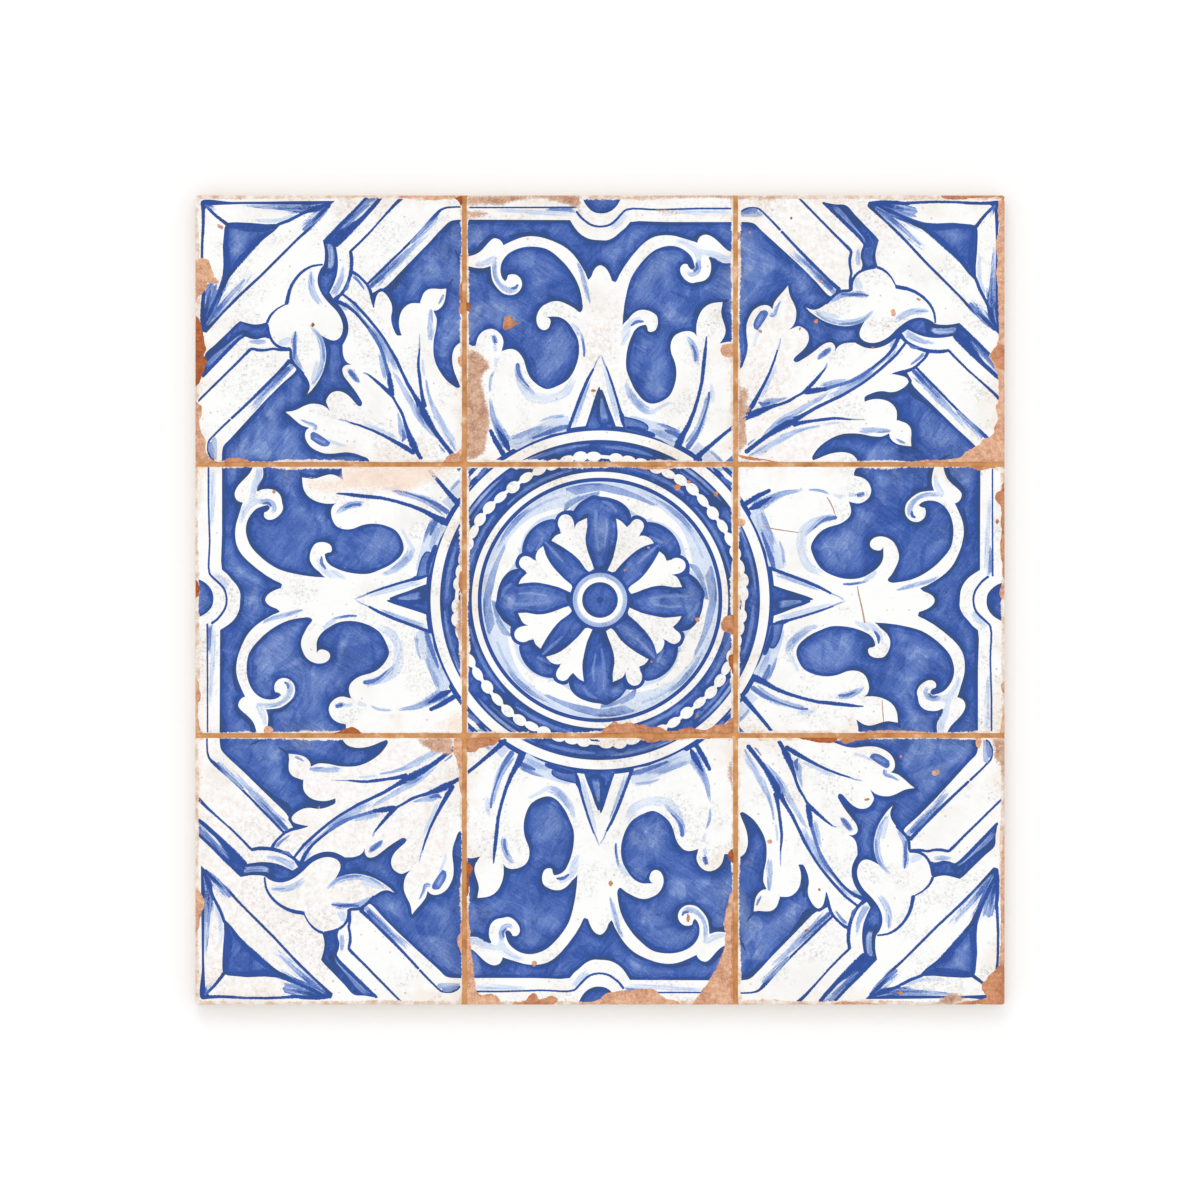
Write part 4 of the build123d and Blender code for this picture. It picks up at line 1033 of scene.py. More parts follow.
def buildFace():
    shapes = list(painting())
    spots = list(wear())
    drawn = Net()
    centres = [(i - (tile["cellsPerSide"] - 1) / 2) * cellPitch for i in range(tile["cellsPerSide"])]
    for centreX in centres:
        for centreY in centres:
            for inset in net["bevelInsets"]:
                drawn.loop(cellLoop(centreX, centreY, inset))
    # the joints run out at the tile's edges
    gapStart = cellSide / 2 - tile["cornerRadius"]
    gapEnd = cellPitch - gapStart
    for across in (-1, 1):
        for along in (-1, 1):
            drawn.edge((across * halfSide, along * gapStart), (across * halfSide, along * gapEnd))
            drawn.edge((along * gapStart, across * halfSide), (along * gapEnd, across * halfSide))
    for tone, outline, spine in shapes:
        drawn.loop(outline)
    for kind, outline in spots:
        drawn.loop(outline)
        middle = outline.mean(axis=0)
        if wearKinds[kind][1] > 0.1:
            drawn.loop(middle + (outline - middle) * net["chipFloor"])
    # extra points inside blue fields, where the brushwork follows their edges, and in worn spots
    pitch = net["fieldPitch"]
    columns = int(tile["side"] / pitch)
    gridX, gridY = np.meshgrid(np.arange(columns) - columns / 2, np.arange(columns) - columns / 2)
    grid = np.column_stack([(gridX + 0.5 * (gridY % 2)).ravel(), gridY.ravel()]) * pitch
    grid = grid[cellEdgeDistance(grid[:, 0], grid[:, 1]) > net["clearOfCellEdge"]]
    tones = np.array([loads[shape[0]] for shape in shapes] + [0.0])
    fill = grid[(tones[topmost(grid, shapes)[0]] > 0.5) | (topmost(grid, spots)[0] >= 0)]
    fill = fill[nearestDistances(fill, drawn.points) > net["clearOfLines"]]
    points = [Vector(p) for p in drawn.points + fill.tolist()]
    print("face:", len(shapes), "shapes,", len(points), "points")
    verts, edges, faces, *rest = delaunay_2d_cdt(points, drawn.edges, [], 0, 1e-4, False)
    verts = np.array([tuple(v) for v in verts])
    faces = np.array(faces)
    middles = verts[faces].mean(axis=1)
    inTile = (np.abs(middles) < halfSide).all(axis=1)
    gap = np.abs(middles) - (halfSide - tile["cornerRadius"])
    pastCorner = np.hypot(gap[:, 0], gap[:, 1]) > tile["cornerRadius"] * 0.99
    inTile &= ~((gap > 0).all(axis=1) & pastCorner)
    faces = faces[inTile]
    middles = middles[inTile]
    a, b, c = (verts[faces[:, i]] for i in range(3))
    facesDown = np.cross(b - a, c - a) < 0
    faces = np.where(facesDown[:, None], faces[:, ::-1], faces)
    # only the points still in use
    used = np.unique(faces)
    renumber = np.full(len(verts), -1)
    renumber[used] = np.arange(len(used))
    verts = verts[used]
    faces = renumber[faces]

    cover, under = topmost(middles, shapes)
    load = tones[cover]
    spotCover = topmost(middles, spots)[0]
    spotLevels = np.array([wearKinds[kind][0] for kind, outline in spots] + [0.0])
    wearLevel = spotLevels[spotCover]
    inJoint = cellEdgeDistance(middles[:, 0], middles[:, 1]) < -0.002

    # how far each corner of a blue triangle is from the field's edge
    sides = np.sort(np.vstack([faces[:, [0, 1]], faces[:, [1, 2]], faces[:, [2, 0]]]), axis=1)
    blue = np.tile(load > 0.5, 3)
    order = np.lexsort((sides[:, 1], sides[:, 0]))
    ordered = sides[order]
    same = (ordered[1:] == ordered[:-1]).all(axis=1)
    changes = same & (blue[order][1:] != blue[order][:-1])
    rims = ordered[1:][changes]
    rimPoints = []
    for a, b in verts[rims]:
        steps = max(1, math.ceil(math.dist(a, b) / 0.5))
        for t in np.arange(steps + 1) / steps:
            rimPoints.append(a + (b - a) * t)
    reach = nearestDistances(verts, rimPoints)
    # and how far each point is from the rim of a worn spot
    wearReach = nearestDistances(verts, np.vstack([outline for kind, outline in spots]))

    # where each corner lies in its brush stroke, so that streaks and dry ends can follow the stroke
    stroke = np.zeros((len(faces), 3, 4))
    for k, (tone, outline, spine) in enumerate(shapes):
        mine = np.nonzero(cover == k)[0]
        if spine is not None and len(mine):
            across, along, length = strokePlaces(verts[faces[mine].ravel()], spine)
            stroke[mine, :, 0] = across.reshape(-1, 3)
            stroke[mine, :, 1] = along.reshape(-1, 3)
            stroke[mine, :, 2] = length
            stroke[mine, :, 3] = 2 if tone.endswith("Fade") else 1
    seed = (cover // 4 * 0.618) % 1  # one number for each stroke, the same in its four turns
    paint = (load, np.minimum(reach / farthest["inField"], 1), seed)
    wearing = (wearLevel, np.minimum(wearReach / farthest["inWear"], 1), tones[under])
    return verts, faces, paint, wearing, stroke, spots, spotCover, inJoint


def boundaryLoop(faces):  # the open edge of the face mesh, in order, counter-clockwise
    directed = np.vstack([faces[:, [0, 1]], faces[:, [1, 2]], faces[:, [2, 0]]])
    pairs = {(a, b) for a, b in directed.tolist()}
    following = {a: b for a, b in pairs if (b, a) not in pairs}
    start = min(following)
    loop = [start]
    while following[loop[-1]] != start:
        loop.append(following[loop[-1]])
    assert len(loop) == len(following), "the face has more than one rim"
    return loop


def colour(code):  # sRGB hex to the linear values that shaders take
    parts = [int(code[i:i + 2], 16) / 255 for i in (1, 3, 5)]
    return tuple(p / 12.92 if p <= 0.04045 else ((p + 0.055) / 1.055) ** 2.4 for p in parts) + (1,)


def addNode(tree, kind, *values, named=None, stops=(), **settings):
    # values fill the sockets in order and named ones by name; a node stands for its first output
    node = tree.nodes.new(kind)
    for name, value in settings.items():
        setattr(node, name, value)
    sockets = [s for s in node.inputs if s.enabled]
    given = list(zip(sockets, values)) + [(node.inputs[name], value) for name, value in (named or {}).items()]
    for socket, value in given:
        if isinstance(value, bpy.types.Node):
            value = [s for s in value.outputs if s.enabled][0]
        if isinstance(value, bpy.types.NodeSocket):
            tree.links.new(value, socket)
        else:
            socket.default_value = value
    for i, (place, code) in enumerate(stops):
        elements = node.color_ramp.elements
        element = elements[i] if i < 2 else elements.new(place)
        element.position = place
        element.color = colour(code)
    return node


def newMaterial(name):
    material = bpy.data.materials.new(name)
    material.use_nodes = True
    tree = material.node_tree
    place = addNode(tree, "ShaderNodeTexCoord").outputs["Object"]
    inMm = addNode(tree, "ShaderNodeVectorMath", place, operation="SCALE", named={"Scale": 1000.0})
    return material, tree, tree.nodes["Principled BSDF"], inMm


glazeLook = {
    "roughness": 0.3,
    "wornRoughness": 0.85,
    "shine": 0.32,
    # broad dabs: where each pattern starts, how fine it is, from what level it shows, and how much
    "dabs": (
        (0.0, 0.07, 0.55, -0.05),
        (61.0, 0.1, 0.57, -0.05),
        (122.3, 0.075, 0.53, 0.07),
        (33.7, 0.2, 0.62, -0.04),
    ),
    "unevenWhite": "#F3F0EC",
    "dust": "#B8B3B1",
    "specks": "#B09E92",
    "warmEdge": "#F9EFE6",
    # a ramp starts out with two stops, so the first two are its ends
    "pigmentStops": (
        (0.0, "#FAFAF9"),
        (1.0, "#28487C"),
        (0.13, "#E0E9F7"),
        (0.25, "#C9D8F1"),
        (0.38, "#A5B9E1"),
        (0.55, "#6A86C6"),
        (0.68, "#4566B3"),
        (0.82, "#1F4A9E"),
    ),
    "wearStops": (
        (0.08, "#F0E3DA"),
        (0.9, "#BC6A33"),
        (0.15, "#FBE3CF"),
        (0.22, "#C9AC98"),
        (0.35, "#EDBC98"),
        (0.5, "#D9B397"),
        (0.7, "#DB9C70"),
    ),
    "bareStops": (
        (0.32, "#FBF8F4"),
        (0.75, "#CF9E7A"),
        (0.48, "#EFE4DB"),
        (0.6, "#E0C6B2"),
    ),
}


def paintedGlaze():
    # majolica: white tin glaze, painted with cobalt blue while still raw, then fired, so that it
    # has a soft gloss and the brush marks show as darker and lighter blue
    material, tree, shader, place = newMaterial("painted tin glaze")
    maths = "ShaderNodeMath"
    mapRange = "ShaderNodeMapRange"
    blend = "ShaderNodeMix"
    texNoise = "ShaderNodeTexNoise"
    smooth = {"interpolation_type": "SMOOTHSTEP"}
    darken = {"data_type": "RGBA", "blend_type": "MULTIPLY"}
    paint = addNode(tree, "ShaderNodeAttribute", attribute_name="paint").outputs["Color"]
    load, reach, seed = addNode(tree, "ShaderNodeSeparateColor", paint).outputs
    distance = addNode(tree, maths, reach, farthest["inField"], operation="MULTIPLY")
    wearing = addNode(tree, "ShaderNodeAttribute", attribute_name="wear").outputs["Color"]
    level, inward, underLoad = addNode(tree, "ShaderNodeSeparateColor", wearing).outputs
    inStroke = addNode(tree, "ShaderNodeAttribute", attribute_name="stroke").outputs
    across, along, length = addNode(tree, "ShaderNodeSeparateColor", inStroke["Color"]).outputs
    x, y, z = addNode(tree, "ShaderNodeSeparateXYZ", place).outputs
    grain = addNode(tree, texNoise, place, 1.5, 3.0, 0.75)
    grain = addNode(tree, maths, grain, 0.5, operation="SUBTRACT")

    # a brush stroke: streaks run along it, washes end dry and ragged, lines have slightly rough edges
    shift = addNode(tree, maths, seed, 40.0, operation="MULTIPLY")
    streakPlace = addNode(tree, "ShaderNodeCombineXYZ",
                          addNode(tree, maths, across, 2.2, operation="MULTIPLY"),
                          addNode(tree, maths, along, 0.09, operation="MULTIPLY"),
                          shift)
    streaks = addNode(tree, texNoise, streakPlace, 1.0, 4.0, 0.68)
    streaks = addNode(tree, maths, streaks, 0.5, operation="SUBTRACT")
    aside = addNode(tree, maths, across, operation="ABSOLUTE")
    inside = addNode(tree, maths, 1.0, aside, operation="SUBTRACT")
    fromEnd = addNode(tree, maths, length, along, operation="SUBTRACT")
    fromEnd = addNode(tree, maths, fromEnd, along, operation="MINIMUM")
    fromEnd = addNode(tree, maths, fromEnd, length, operation="DIVIDE")
    rough = addNode(tree, maths, streaks, 2.6, operation="MULTIPLY")
    rough = addNode(tree, maths, grain, 1.6, rough, operation="MULTIPLY_ADD")
    dryEdge = addNode(tree, maths, inside, 2.0, rough, operation="MULTIPLY_ADD")
    dryEdge = addNode(tree, mapRange, dryEdge, 0.0, 0.8, 0.0, 1.0, **smooth)
    dryEnd = addNode(tree, maths, fromEnd, 7.0, rough, operation="MULTIPLY_ADD")
    dryEnd = addNode(tree, mapRange, dryEnd, 0.0, 1.0, 0.0, 1.0, **smooth)
    washed = addNode(tree, maths, dryEdge, dryEnd, operation="MULTIPLY")
    left = addNode(tree, maths, along, length, operation="DIVIDE")
    fading = addNode(tree, maths, left, -1.7, 1.45, operation="MULTIPLY_ADD")
    fading = addNode(tree, maths, rough, 0.9, fading, operation="MULTIPLY_ADD")
    fading = addNode(tree, mapRange, fading, 0.0, 1.1, 0.0, 1.0, **smooth)
    fading = addNode(tree, maths, dryEdge, fading, operation="MULTIPLY")
    lined = addNode(tree, maths, inside, 1.0, grain, operation="MULTIPLY_ADD")
    lined = addNode(tree, mapRange, lined, -0.05, 0.35, 0.0, 1.0, **smooth)
    isLine = addNode(tree, mapRange, load, 0.5, 0.54, 0.0, 1.0)
    laid = addNode(tree, blend, isLine, washed, lined, data_type="FLOAT")
    isFading = addNode(tree, mapRange, inStroke["Alpha"], 1.4, 1.6, 0.0, 1.0)
    laid = addNode(tree, blend, isFading, laid, fading, data_type="FLOAT")
    laid = addNode(tree, blend, inStroke["Alpha"], 1.0, laid, data_type="FLOAT")
    laidLoad = addNode(tree, blend, laid, underLoad, load, data_type="FLOAT")
    swing = addNode(tree, blend, isLine, 0.62, 0.3, data_type="FLOAT")
    swing = addNode(tree, maths, swing, streaks, operation="MULTIPLY")
    swing = addNode(tree, maths, swing, inStroke["Alpha"], operation="MULTIPLY")

    # near the edge of a field the brush followed it, with marks 10 mm long and 1 mm wide
    edgePlace = addNode(tree, "ShaderNodeCombineXYZ",
                        addNode(tree, maths, x, 0.08, shift, operation="MULTIPLY_ADD"),
                        addNode(tree, maths, y, 0.08, operation="MULTIPLY"),
                        addNode(tree, maths, distance, 0.9, operation="MULTIPLY"))
    edgeMarks = addNode(tree, texNoise, edgePlace, 1.0, 3.0, 0.6)
    edgeMarks = addNode(tree, maths, edgeMarks, 0.5, operation="SUBTRACT")
    nearEdge = addNode(tree, mapRange, distance, 1.0, 4.5, 0.4, 0.0, **smooth)
    marks = addNode(tree, maths, edgeMarks, nearEdge, operation="MULTIPLY")

    # further in it laid cloudy washes that overlap with soft and with crisp edges
    clouds = addNode(tree, texNoise, place, 0.036, 1.0, 0.4, named={"Distortion": 1.6})
    clouds = addNode(tree, mapRange, clouds, 0.38, 0.62, 0.08, -0.06, **smooth)
    marks = addNode(tree, maths, marks, clouds, operation="ADD")
    for offset, size, light, amount in glazeLook["dabs"]:
        moved = addNode(tree, "ShaderNodeMapping", place, (offset, 0.0, 0.0), (0.0, 0.0, offset),
                        (1.0, 1.9, 1.0), vector_type="TEXTURE")
        dabs = addNode(tree, texNoise, moved, size, 2.0, 0.5, named={"Distortion": 1.2})
        dabs = addNode(tree, mapRange, dabs, light, light + 0.04, 0.0, amount)
        marks = addNode(tree, maths, marks, dabs, operation="ADD")
    hairs = []
    for turn, offset in ((0.9, 0.0), (-0.6, 90.0)):
        turned = addNode(tree, "ShaderNodeMapping", place, (offset, 0.0, 0.0), (0.0, 0.0, turn),
                         (7.0, 0.9, 1.0), vector_type="TEXTURE")
        hairs.append(addNode(tree, texNoise, turned, 1.0, 3.0, 0.6, named={"Distortion": 0.5}))
    region = addNode(tree, texNoise, place, 0.05, 1.0)
    region = addNode(tree, mapRange, region, 0.42, 0.58, 0.0, 1.0, **smooth)
    hair = addNode(tree, blend, region, hairs[0], hairs[1], data_type="FLOAT")
    hair = addNode(tree, maths, hair, 0.5, operation="SUBTRACT")
    marks = addNode(tree, maths, hair, 0.28, marks, operation="MULTIPLY_ADD")
    # and pigment gathers towards the edges
    wander = addNode(tree, maths, clouds, 10.0, distance, operation="MULTIPLY_ADD")
    rim = addNode(tree, mapRange, wander, 0.2, 5.2, 0.11, -0.05, **smooth)
    marks = addNode(tree, maths, marks, rim, operation="ADD")
    # a darker line was drawn round it first, and shows through
    wobble = addNode(tree, texNoise, place, 0.18, 3.0, 0.6)
    wobble = addNode(tree, maths, wobble, -3.6, 1.0, operation="MULTIPLY_ADD")
    wobble = addNode(tree, maths, wobble, distance, operation="ADD")
    outlined = addNode(tree, mapRange, wobble, 0.25, 0.7, 0.12, 0.0, **smooth)
    marks = addNode(tree, maths, marks, outlined, operation="ADD")

    field = addNode(tree, mapRange, laidLoad, 0.56, 0.66, 0.0, 1.0, **smooth)
    thinner = addNode(tree, mapRange, laidLoad, 0.08, 0.2, 0.0, 0.4)
    field = addNode(tree, maths, field, thinner, operation="MAXIMUM")
    notLine = addNode(tree, mapRange, laidLoad, 0.7, 0.78, 1.0, 0.15, **smooth)
    field = addNode(tree, maths, field, notLine, operation="MULTIPLY")
    swing = addNode(tree, maths, marks, field, swing, operation="MULTIPLY_ADD")
    swing = addNode(tree, maths, grain, 0.34, swing, operation="MULTIPLY_ADD")
    painted = addNode(tree, mapRange, laidLoad, 0.02, 0.12, 0.0, 1.0)
    pigment = addNode(tree, maths, swing, painted, laidLoad, operation="MULTIPLY_ADD")
    tint = addNode(tree, "ShaderNodeValToRGB", pigment, stops=glazeLook["pigmentStops"])

    # the white is a little uneven, with clouds of grey-brown specks
    patches = addNode(tree, texNoise, place, 0.04, 5.0, 0.65)
    patches = addNode(tree, mapRange, patches, 0.48, 0.7, 0.0, 0.6, **smooth)
    tint = addNode(tree, blend, patches, tint, colour(glazeLook["unevenWhite"]), **darken)
    haze = addNode(tree, texNoise, place, 0.06, 3.0, 0.6)
    haze = addNode(tree, mapRange, haze, 0.47, 0.6, 0.05, 1.0, **smooth)
    dirt = addNode(tree, texNoise, place, 0.9, 5.0, 0.85)
    dirt = addNode(tree, mapRange, dirt, 0.5, 0.66, 0.0, 0.85)
    dirt = addNode(tree, maths, dirt, haze, operation="MULTIPLY")
    tint = addNode(tree, blend, dirt, tint, colour(glazeLook["dust"]), **darken)
    cells = addNode(tree, "ShaderNodeTexVoronoi", place, 0.34)
    chance = addNode(tree, "ShaderNodeSeparateColor", cells.outputs["Color"])
    size = addNode(tree, mapRange, chance, 0.35, 1.0, 0.0, 0.17)
    edge = addNode(tree, maths, cells.outputs["Distance"], size, operation="SUBTRACT")
    speck = addNode(tree, mapRange, edge, -0.05, 0.03, 0.55, 0.0)
    tint = addNode(tree, blend, speck, tint, colour(glazeLook["specks"]), **darken)

    # paint and glaze end raggedly at the cells' edges, where the pinkish body shows; along the tile's outer
    # rim the band is also darkened as painted shade of the rounded edge
    fromCentre = []
    fromMiddle = []
    for axis in (x, y):
        size = addNode(tree, maths, axis, operation="ABSOLUTE")
        other = addNode(tree, maths, size, cellPitch, operation="SUBTRACT")
        other = addNode(tree, maths, other, operation="ABSOLUTE")
        fromCentre.append(size)
        fromMiddle.append(addNode(tree, maths, size, other, operation="MINIMUM"))
    furthest = addNode(tree, maths, *fromMiddle, operation="MAXIMUM")
    toEdge = addNode(tree, maths, cellSide / 2, furthest, operation="SUBTRACT")
    far = addNode(tree, maths, *fromCentre, operation="MAXIMUM")
    # along the tile's outer rim the bare band is made wider and darker: partly the body showing, partly
    # painted shade of the rounded edge
    outer = addNode(tree, mapRange, far, halfSide - 4, halfSide - 3, 0.0, 1.0)
    warm = addNode(tree, texNoise, place, 0.05, 5.0, 0.7)
    warm = addNode(tree, maths, warm, 60.0, -26.0, operation="MULTIPLY_ADD")
    warm = addNode(tree, maths, warm, toEdge, operation="SUBTRACT")
    warm = addNode(tree, mapRange, warm, -4.0, 10.0, 0.0, 0.8, **smooth)
    tint = addNode(tree, blend, warm, tint, colour(glazeLook["warmEdge"]), **darken)
    width = addNode(tree, texNoise, place, 0.035, 1.0)
    width = addNode(tree, mapRange, width, 0.35, 0.7, 0.25, 1.3, **smooth)
    bite = addNode(tree, texNoise, place, 0.8, 4.0, 0.65)
    bite = addNode(tree, maths, bite, 2.4, -1.2, operation="MULTIPLY_ADD")
    limit = addNode(tree, maths, width, bite, operation="ADD")
    limit = addNode(tree, maths, outer, 0.7, limit, operation="MULTIPLY_ADD")
    bare = addNode(tree, maths, toEdge, limit, operation="SUBTRACT")
    bare = addNode(tree, mapRange, bare, -0.12, 0.12, 1.0, 0.0)
    bareTintAndRimShade = addNode(tree, texNoise, place, 0.22, 4.0, 0.65)
    bareTintAndRimShade = addNode(tree, maths, outer, 0.05, bareTintAndRimShade, operation="MULTIPLY_ADD")
    bareTintAndRimShade = addNode(tree, "ShaderNodeValToRGB", bareTintAndRimShade, stops=glazeLook["bareStops"])
    tint = addNode(tree, blend, bare, tint, bareTintAndRimShade, data_type="RGBA")

    # worn and chipped spots: chips end sharply, stains and thin glaze fade out in specks
    spotTint = addNode(tree, "ShaderNodeValToRGB", level, stops=glazeLook["wearStops"])
    stain = addNode(tree, texNoise, place, 0.13, 3.0, 0.6)
    stain = addNode(tree, mapRange, stain, 0.42, 0.64, 0.0, 0.9, **smooth)
    isTint = addNode(tree, mapRange, level, 0.17, 0.19, 1.0, 0.0)
    notTint = addNode(tree, maths, isTint, -0.75, 1.0, operation="MULTIPLY_ADD")
    stain = addNode(tree, maths, stain, notTint, operation="MULTIPLY")
    spotTint = addNode(tree, blend, stain, spotTint, colour("#E3D3CB"), **darken)
    mottle = addNode(tree, texNoise, place, 0.45, 5.0, 0.75)
    shade = addNode(tree, mapRange, mottle, 0.38, 0.66, 0.0, 1.0)
    shade = addNode(tree, maths, shade, notTint, operation="MULTIPLY")
    spotTint = addNode(tree, blend, shade, spotTint, colour("#D6BDAE"), **darken)
    dust = addNode(tree, texNoise, place, 1.2, 4.0, 0.75)
    dustiness = addNode(tree, mapRange, dust, 0.5, 0.7, 0.0, 0.6)
    faint = addNode(tree, mapRange, level, 0.5, 0.8, 1.0, 0.25)
    dustiness = addNode(tree, maths, dustiness, faint, operation="MULTIPLY")
    spotTint = addNode(tree, blend, dustiness, spotTint, colour("#F6E4D8"), data_type="RGBA")
    isSpot = addNode(tree, mapRange, level, 0.05, 0.1, 0.0, 1.0)
    isTan = addNode(tree, maths, level, 0.5, 0.05, operation="COMPARE")
    isSoft = addNode(tree, maths, isTint, isTan, operation="MAXIMUM")
    frayed = addNode(tree, maths, dust, 5.0, -2.2, operation="MULTIPLY_ADD")
    fraySpeed = addNode(tree, blend, isTint, 9.0, 3.2, data_type="FLOAT")
    frayed = addNode(tree, maths, inward, fraySpeed, frayed, operation="MULTIPLY_ADD")
    frayed = addNode(tree, mapRange, frayed, 0.2, 1.4, 0.0, 1.0, **smooth)
    frayed = addNode(tree, blend, isSoft, 1.0, frayed, data_type="FLOAT")
    cover = addNode(tree, mapRange, level, 0.19, 0.21, 0.8, 1.0)
    isDust = addNode(tree, mapRange, level, 0.1, 0.13, 1.0, 0.0)
    clean = addNode(tree, mapRange, mottle, 0.44, 0.6, 1.0, 0.0)
    clean = addNode(tree, maths, clean, painted, operation="MAXIMUM")
    clean = addNode(tree, maths, clean, isDust, operation="MULTIPLY")
    dusty = addNode(tree, maths, clean, -1.0, 1.0, operation="MULTIPLY_ADD")
    cover = addNode(tree, maths, cover, dusty, operation="MULTIPLY")
    cover = addNode(tree, maths, cover, isSpot, operation="MULTIPLY")
    cover = addNode(tree, maths, cover, frayed, operation="MULTIPLY")
    tint = addNode(tree, blend, cover, tint, spotTint, data_type="RGBA")
    tree.links.new(tint.outputs[2], shader.inputs["Base Color"])

    # glossy on the glaze, dull where it is worn away
    halfDull = addNode(tree, maths, bare, 0.6, operation="MULTIPLY")
    dull = addNode(tree, mapRange, level, 0.17, 0.25, 0.0, 1.0)
    dull = addNode(tree, maths, dull, halfDull, operation="MAXIMUM")
    dull = addNode(tree, mapRange, dull, 0.0, 1.0, glazeLook["roughness"], glazeLook["wornRoughness"])
    tree.links.new(dull.outputs[0], shader.inputs["Roughness"])
    shader.inputs["Specular IOR Level"].default_value = glazeLook["shine"]
    swell = addNode(tree, texNoise, place, 0.6, 2.0)
    swell = addNode(tree, maths, swell, 0.25, operation="MULTIPLY")
    relief = addNode(tree, maths, mottle, isSpot, swell, operation="MULTIPLY_ADD")
    bump = addNode(tree, "ShaderNodeBump", named={"Strength": 0.25, "Distance": 0.0003, "Height": relief})
    tree.links.new(bump.outputs[0], shader.inputs["Normal"])
    return material


def scoredJoint():
    # coloured slip wiped into the pressed joints: sandy, dull ochre
    material, tree, shader, place = newMaterial("ochre joint slip")
    blotches = addNode(tree, "ShaderNodeTexNoise", place, 0.16, 5.0, 0.6)
    tint = addNode(tree, "ShaderNodeValToRGB", blotches,
                   stops=((0.34, "#B97B45"), (0.7, "#F0CFAE"), (0.46, "#CC9053"), (0.58, "#D69C63")))
    tree.links.new(tint.outputs[0], shader.inputs["Base Color"])
    shader.inputs["Roughness"].default_value = 0.85
    grit = addNode(tree, "ShaderNodeTexNoise", place, 3.0, 3.0, 0.7)
    bump = addNode(tree, "ShaderNodeBump", named={"Strength": 0.4, "Distance": 0.0002, "Height": grit})
    tree.links.new(bump.outputs[0], shader.inputs["Normal"])
    return material


def firedClay():
    # dry-pressed earthenware, fired buff red and left rough; the glaze runs a little over its edge
    material, tree, shader, place = newMaterial("fired clay body")
    blotches = addNode(tree, "ShaderNodeTexNoise", place, 0.3, 6.0, 0.7)
    tint = addNode(tree, "ShaderNodeValToRGB", blotches,
                   stops=((0.3, "#D2BAA6"), (0.7, "#EADBCD"), (0.5, "#E0CCBA")))
    x, y, z = addNode(tree, "ShaderNodeSeparateXYZ", place).outputs
    run = addNode(tree, "ShaderNodeTexNoise", place, 0.25, 3.0)
    run = addNode(tree, "ShaderNodeMath", run, 1.6, 4.6, operation="MULTIPLY_ADD")
    glazed = addNode(tree, "ShaderNodeMath", z, run, operation="SUBTRACT")
    glazed = addNode(tree, "ShaderNodeMapRange", glazed, -0.1, 0.1, 0.0, 1.0)
    tint = addNode(tree, "ShaderNodeMix", glazed, tint, colour("#F3EADF"), data_type="RGBA")
    tree.links.new(tint.outputs[2], shader.inputs["Base Color"])
    dull = addNode(tree, "ShaderNodeMapRange", glazed, 0.0, 1.0, 0.9, 0.35)
    tree.links.new(dull.outputs[0], shader.inputs["Roughness"])
    grit = addNode(tree, "ShaderNodeTexNoise", place, 1.8, 4.0, 0.7)
    bump = addNode(tree, "ShaderNodeBump", named={"Strength": 0.35, "Distance": 0.0003, "Height": grit})
    tree.links.new(bump.outputs[0], shader.inputs["Normal"])
    return material


# Keying back

def pocketUnit():
    # one pocket with its half ribs, its mouth an eight-sided square that narrows to the floor
    half = (keying["pocketSide"] + keying["ribWidth"]) / 2
    shrink = keying["pocketDepth"] * math.tan(math.radians(keying["pocketDraft"]))
    verts = [(-half, -half, 0), (half, -half, 0), (half, half, 0), (-half, half, 0)]
    for inset, height in ((0, 0), (shrink, keying["pocketDepth"])):
        a = keying["pocketSide"] / 2 - inset
        b = keying["pocketSide"] / 2 - keying["cornerCut"] - inset * math.tan(math.radians(22.5))
        ringOf = ((-b, -a), (b, -a), (a, -b), (a, b), (b, a), (-b, a), (-a, b), (-a, -b))
        verts += [(x, y, height) for x, y in ringOf]
    faces = [(0, 4, 5, 1), (1, 6, 7, 2), (2, 8, 9, 3), (3, 10, 11, 0)]
    faces += [(1, 5, 6), (2, 7, 8), (3, 9, 10), (0, 11, 4)]
    for i in range(8):
        j = (i + 1) % 8
        faces.append((4 + i, 12 + i, 12 + j, 4 + j))
    faces.append(tuple(range(12, 20))[::-1])
    mesh = bpy.data.meshes.new("pocket unit")
    mesh.from_pydata([Vector(v) / 1000 for v in verts], [], faces)
    return mesh


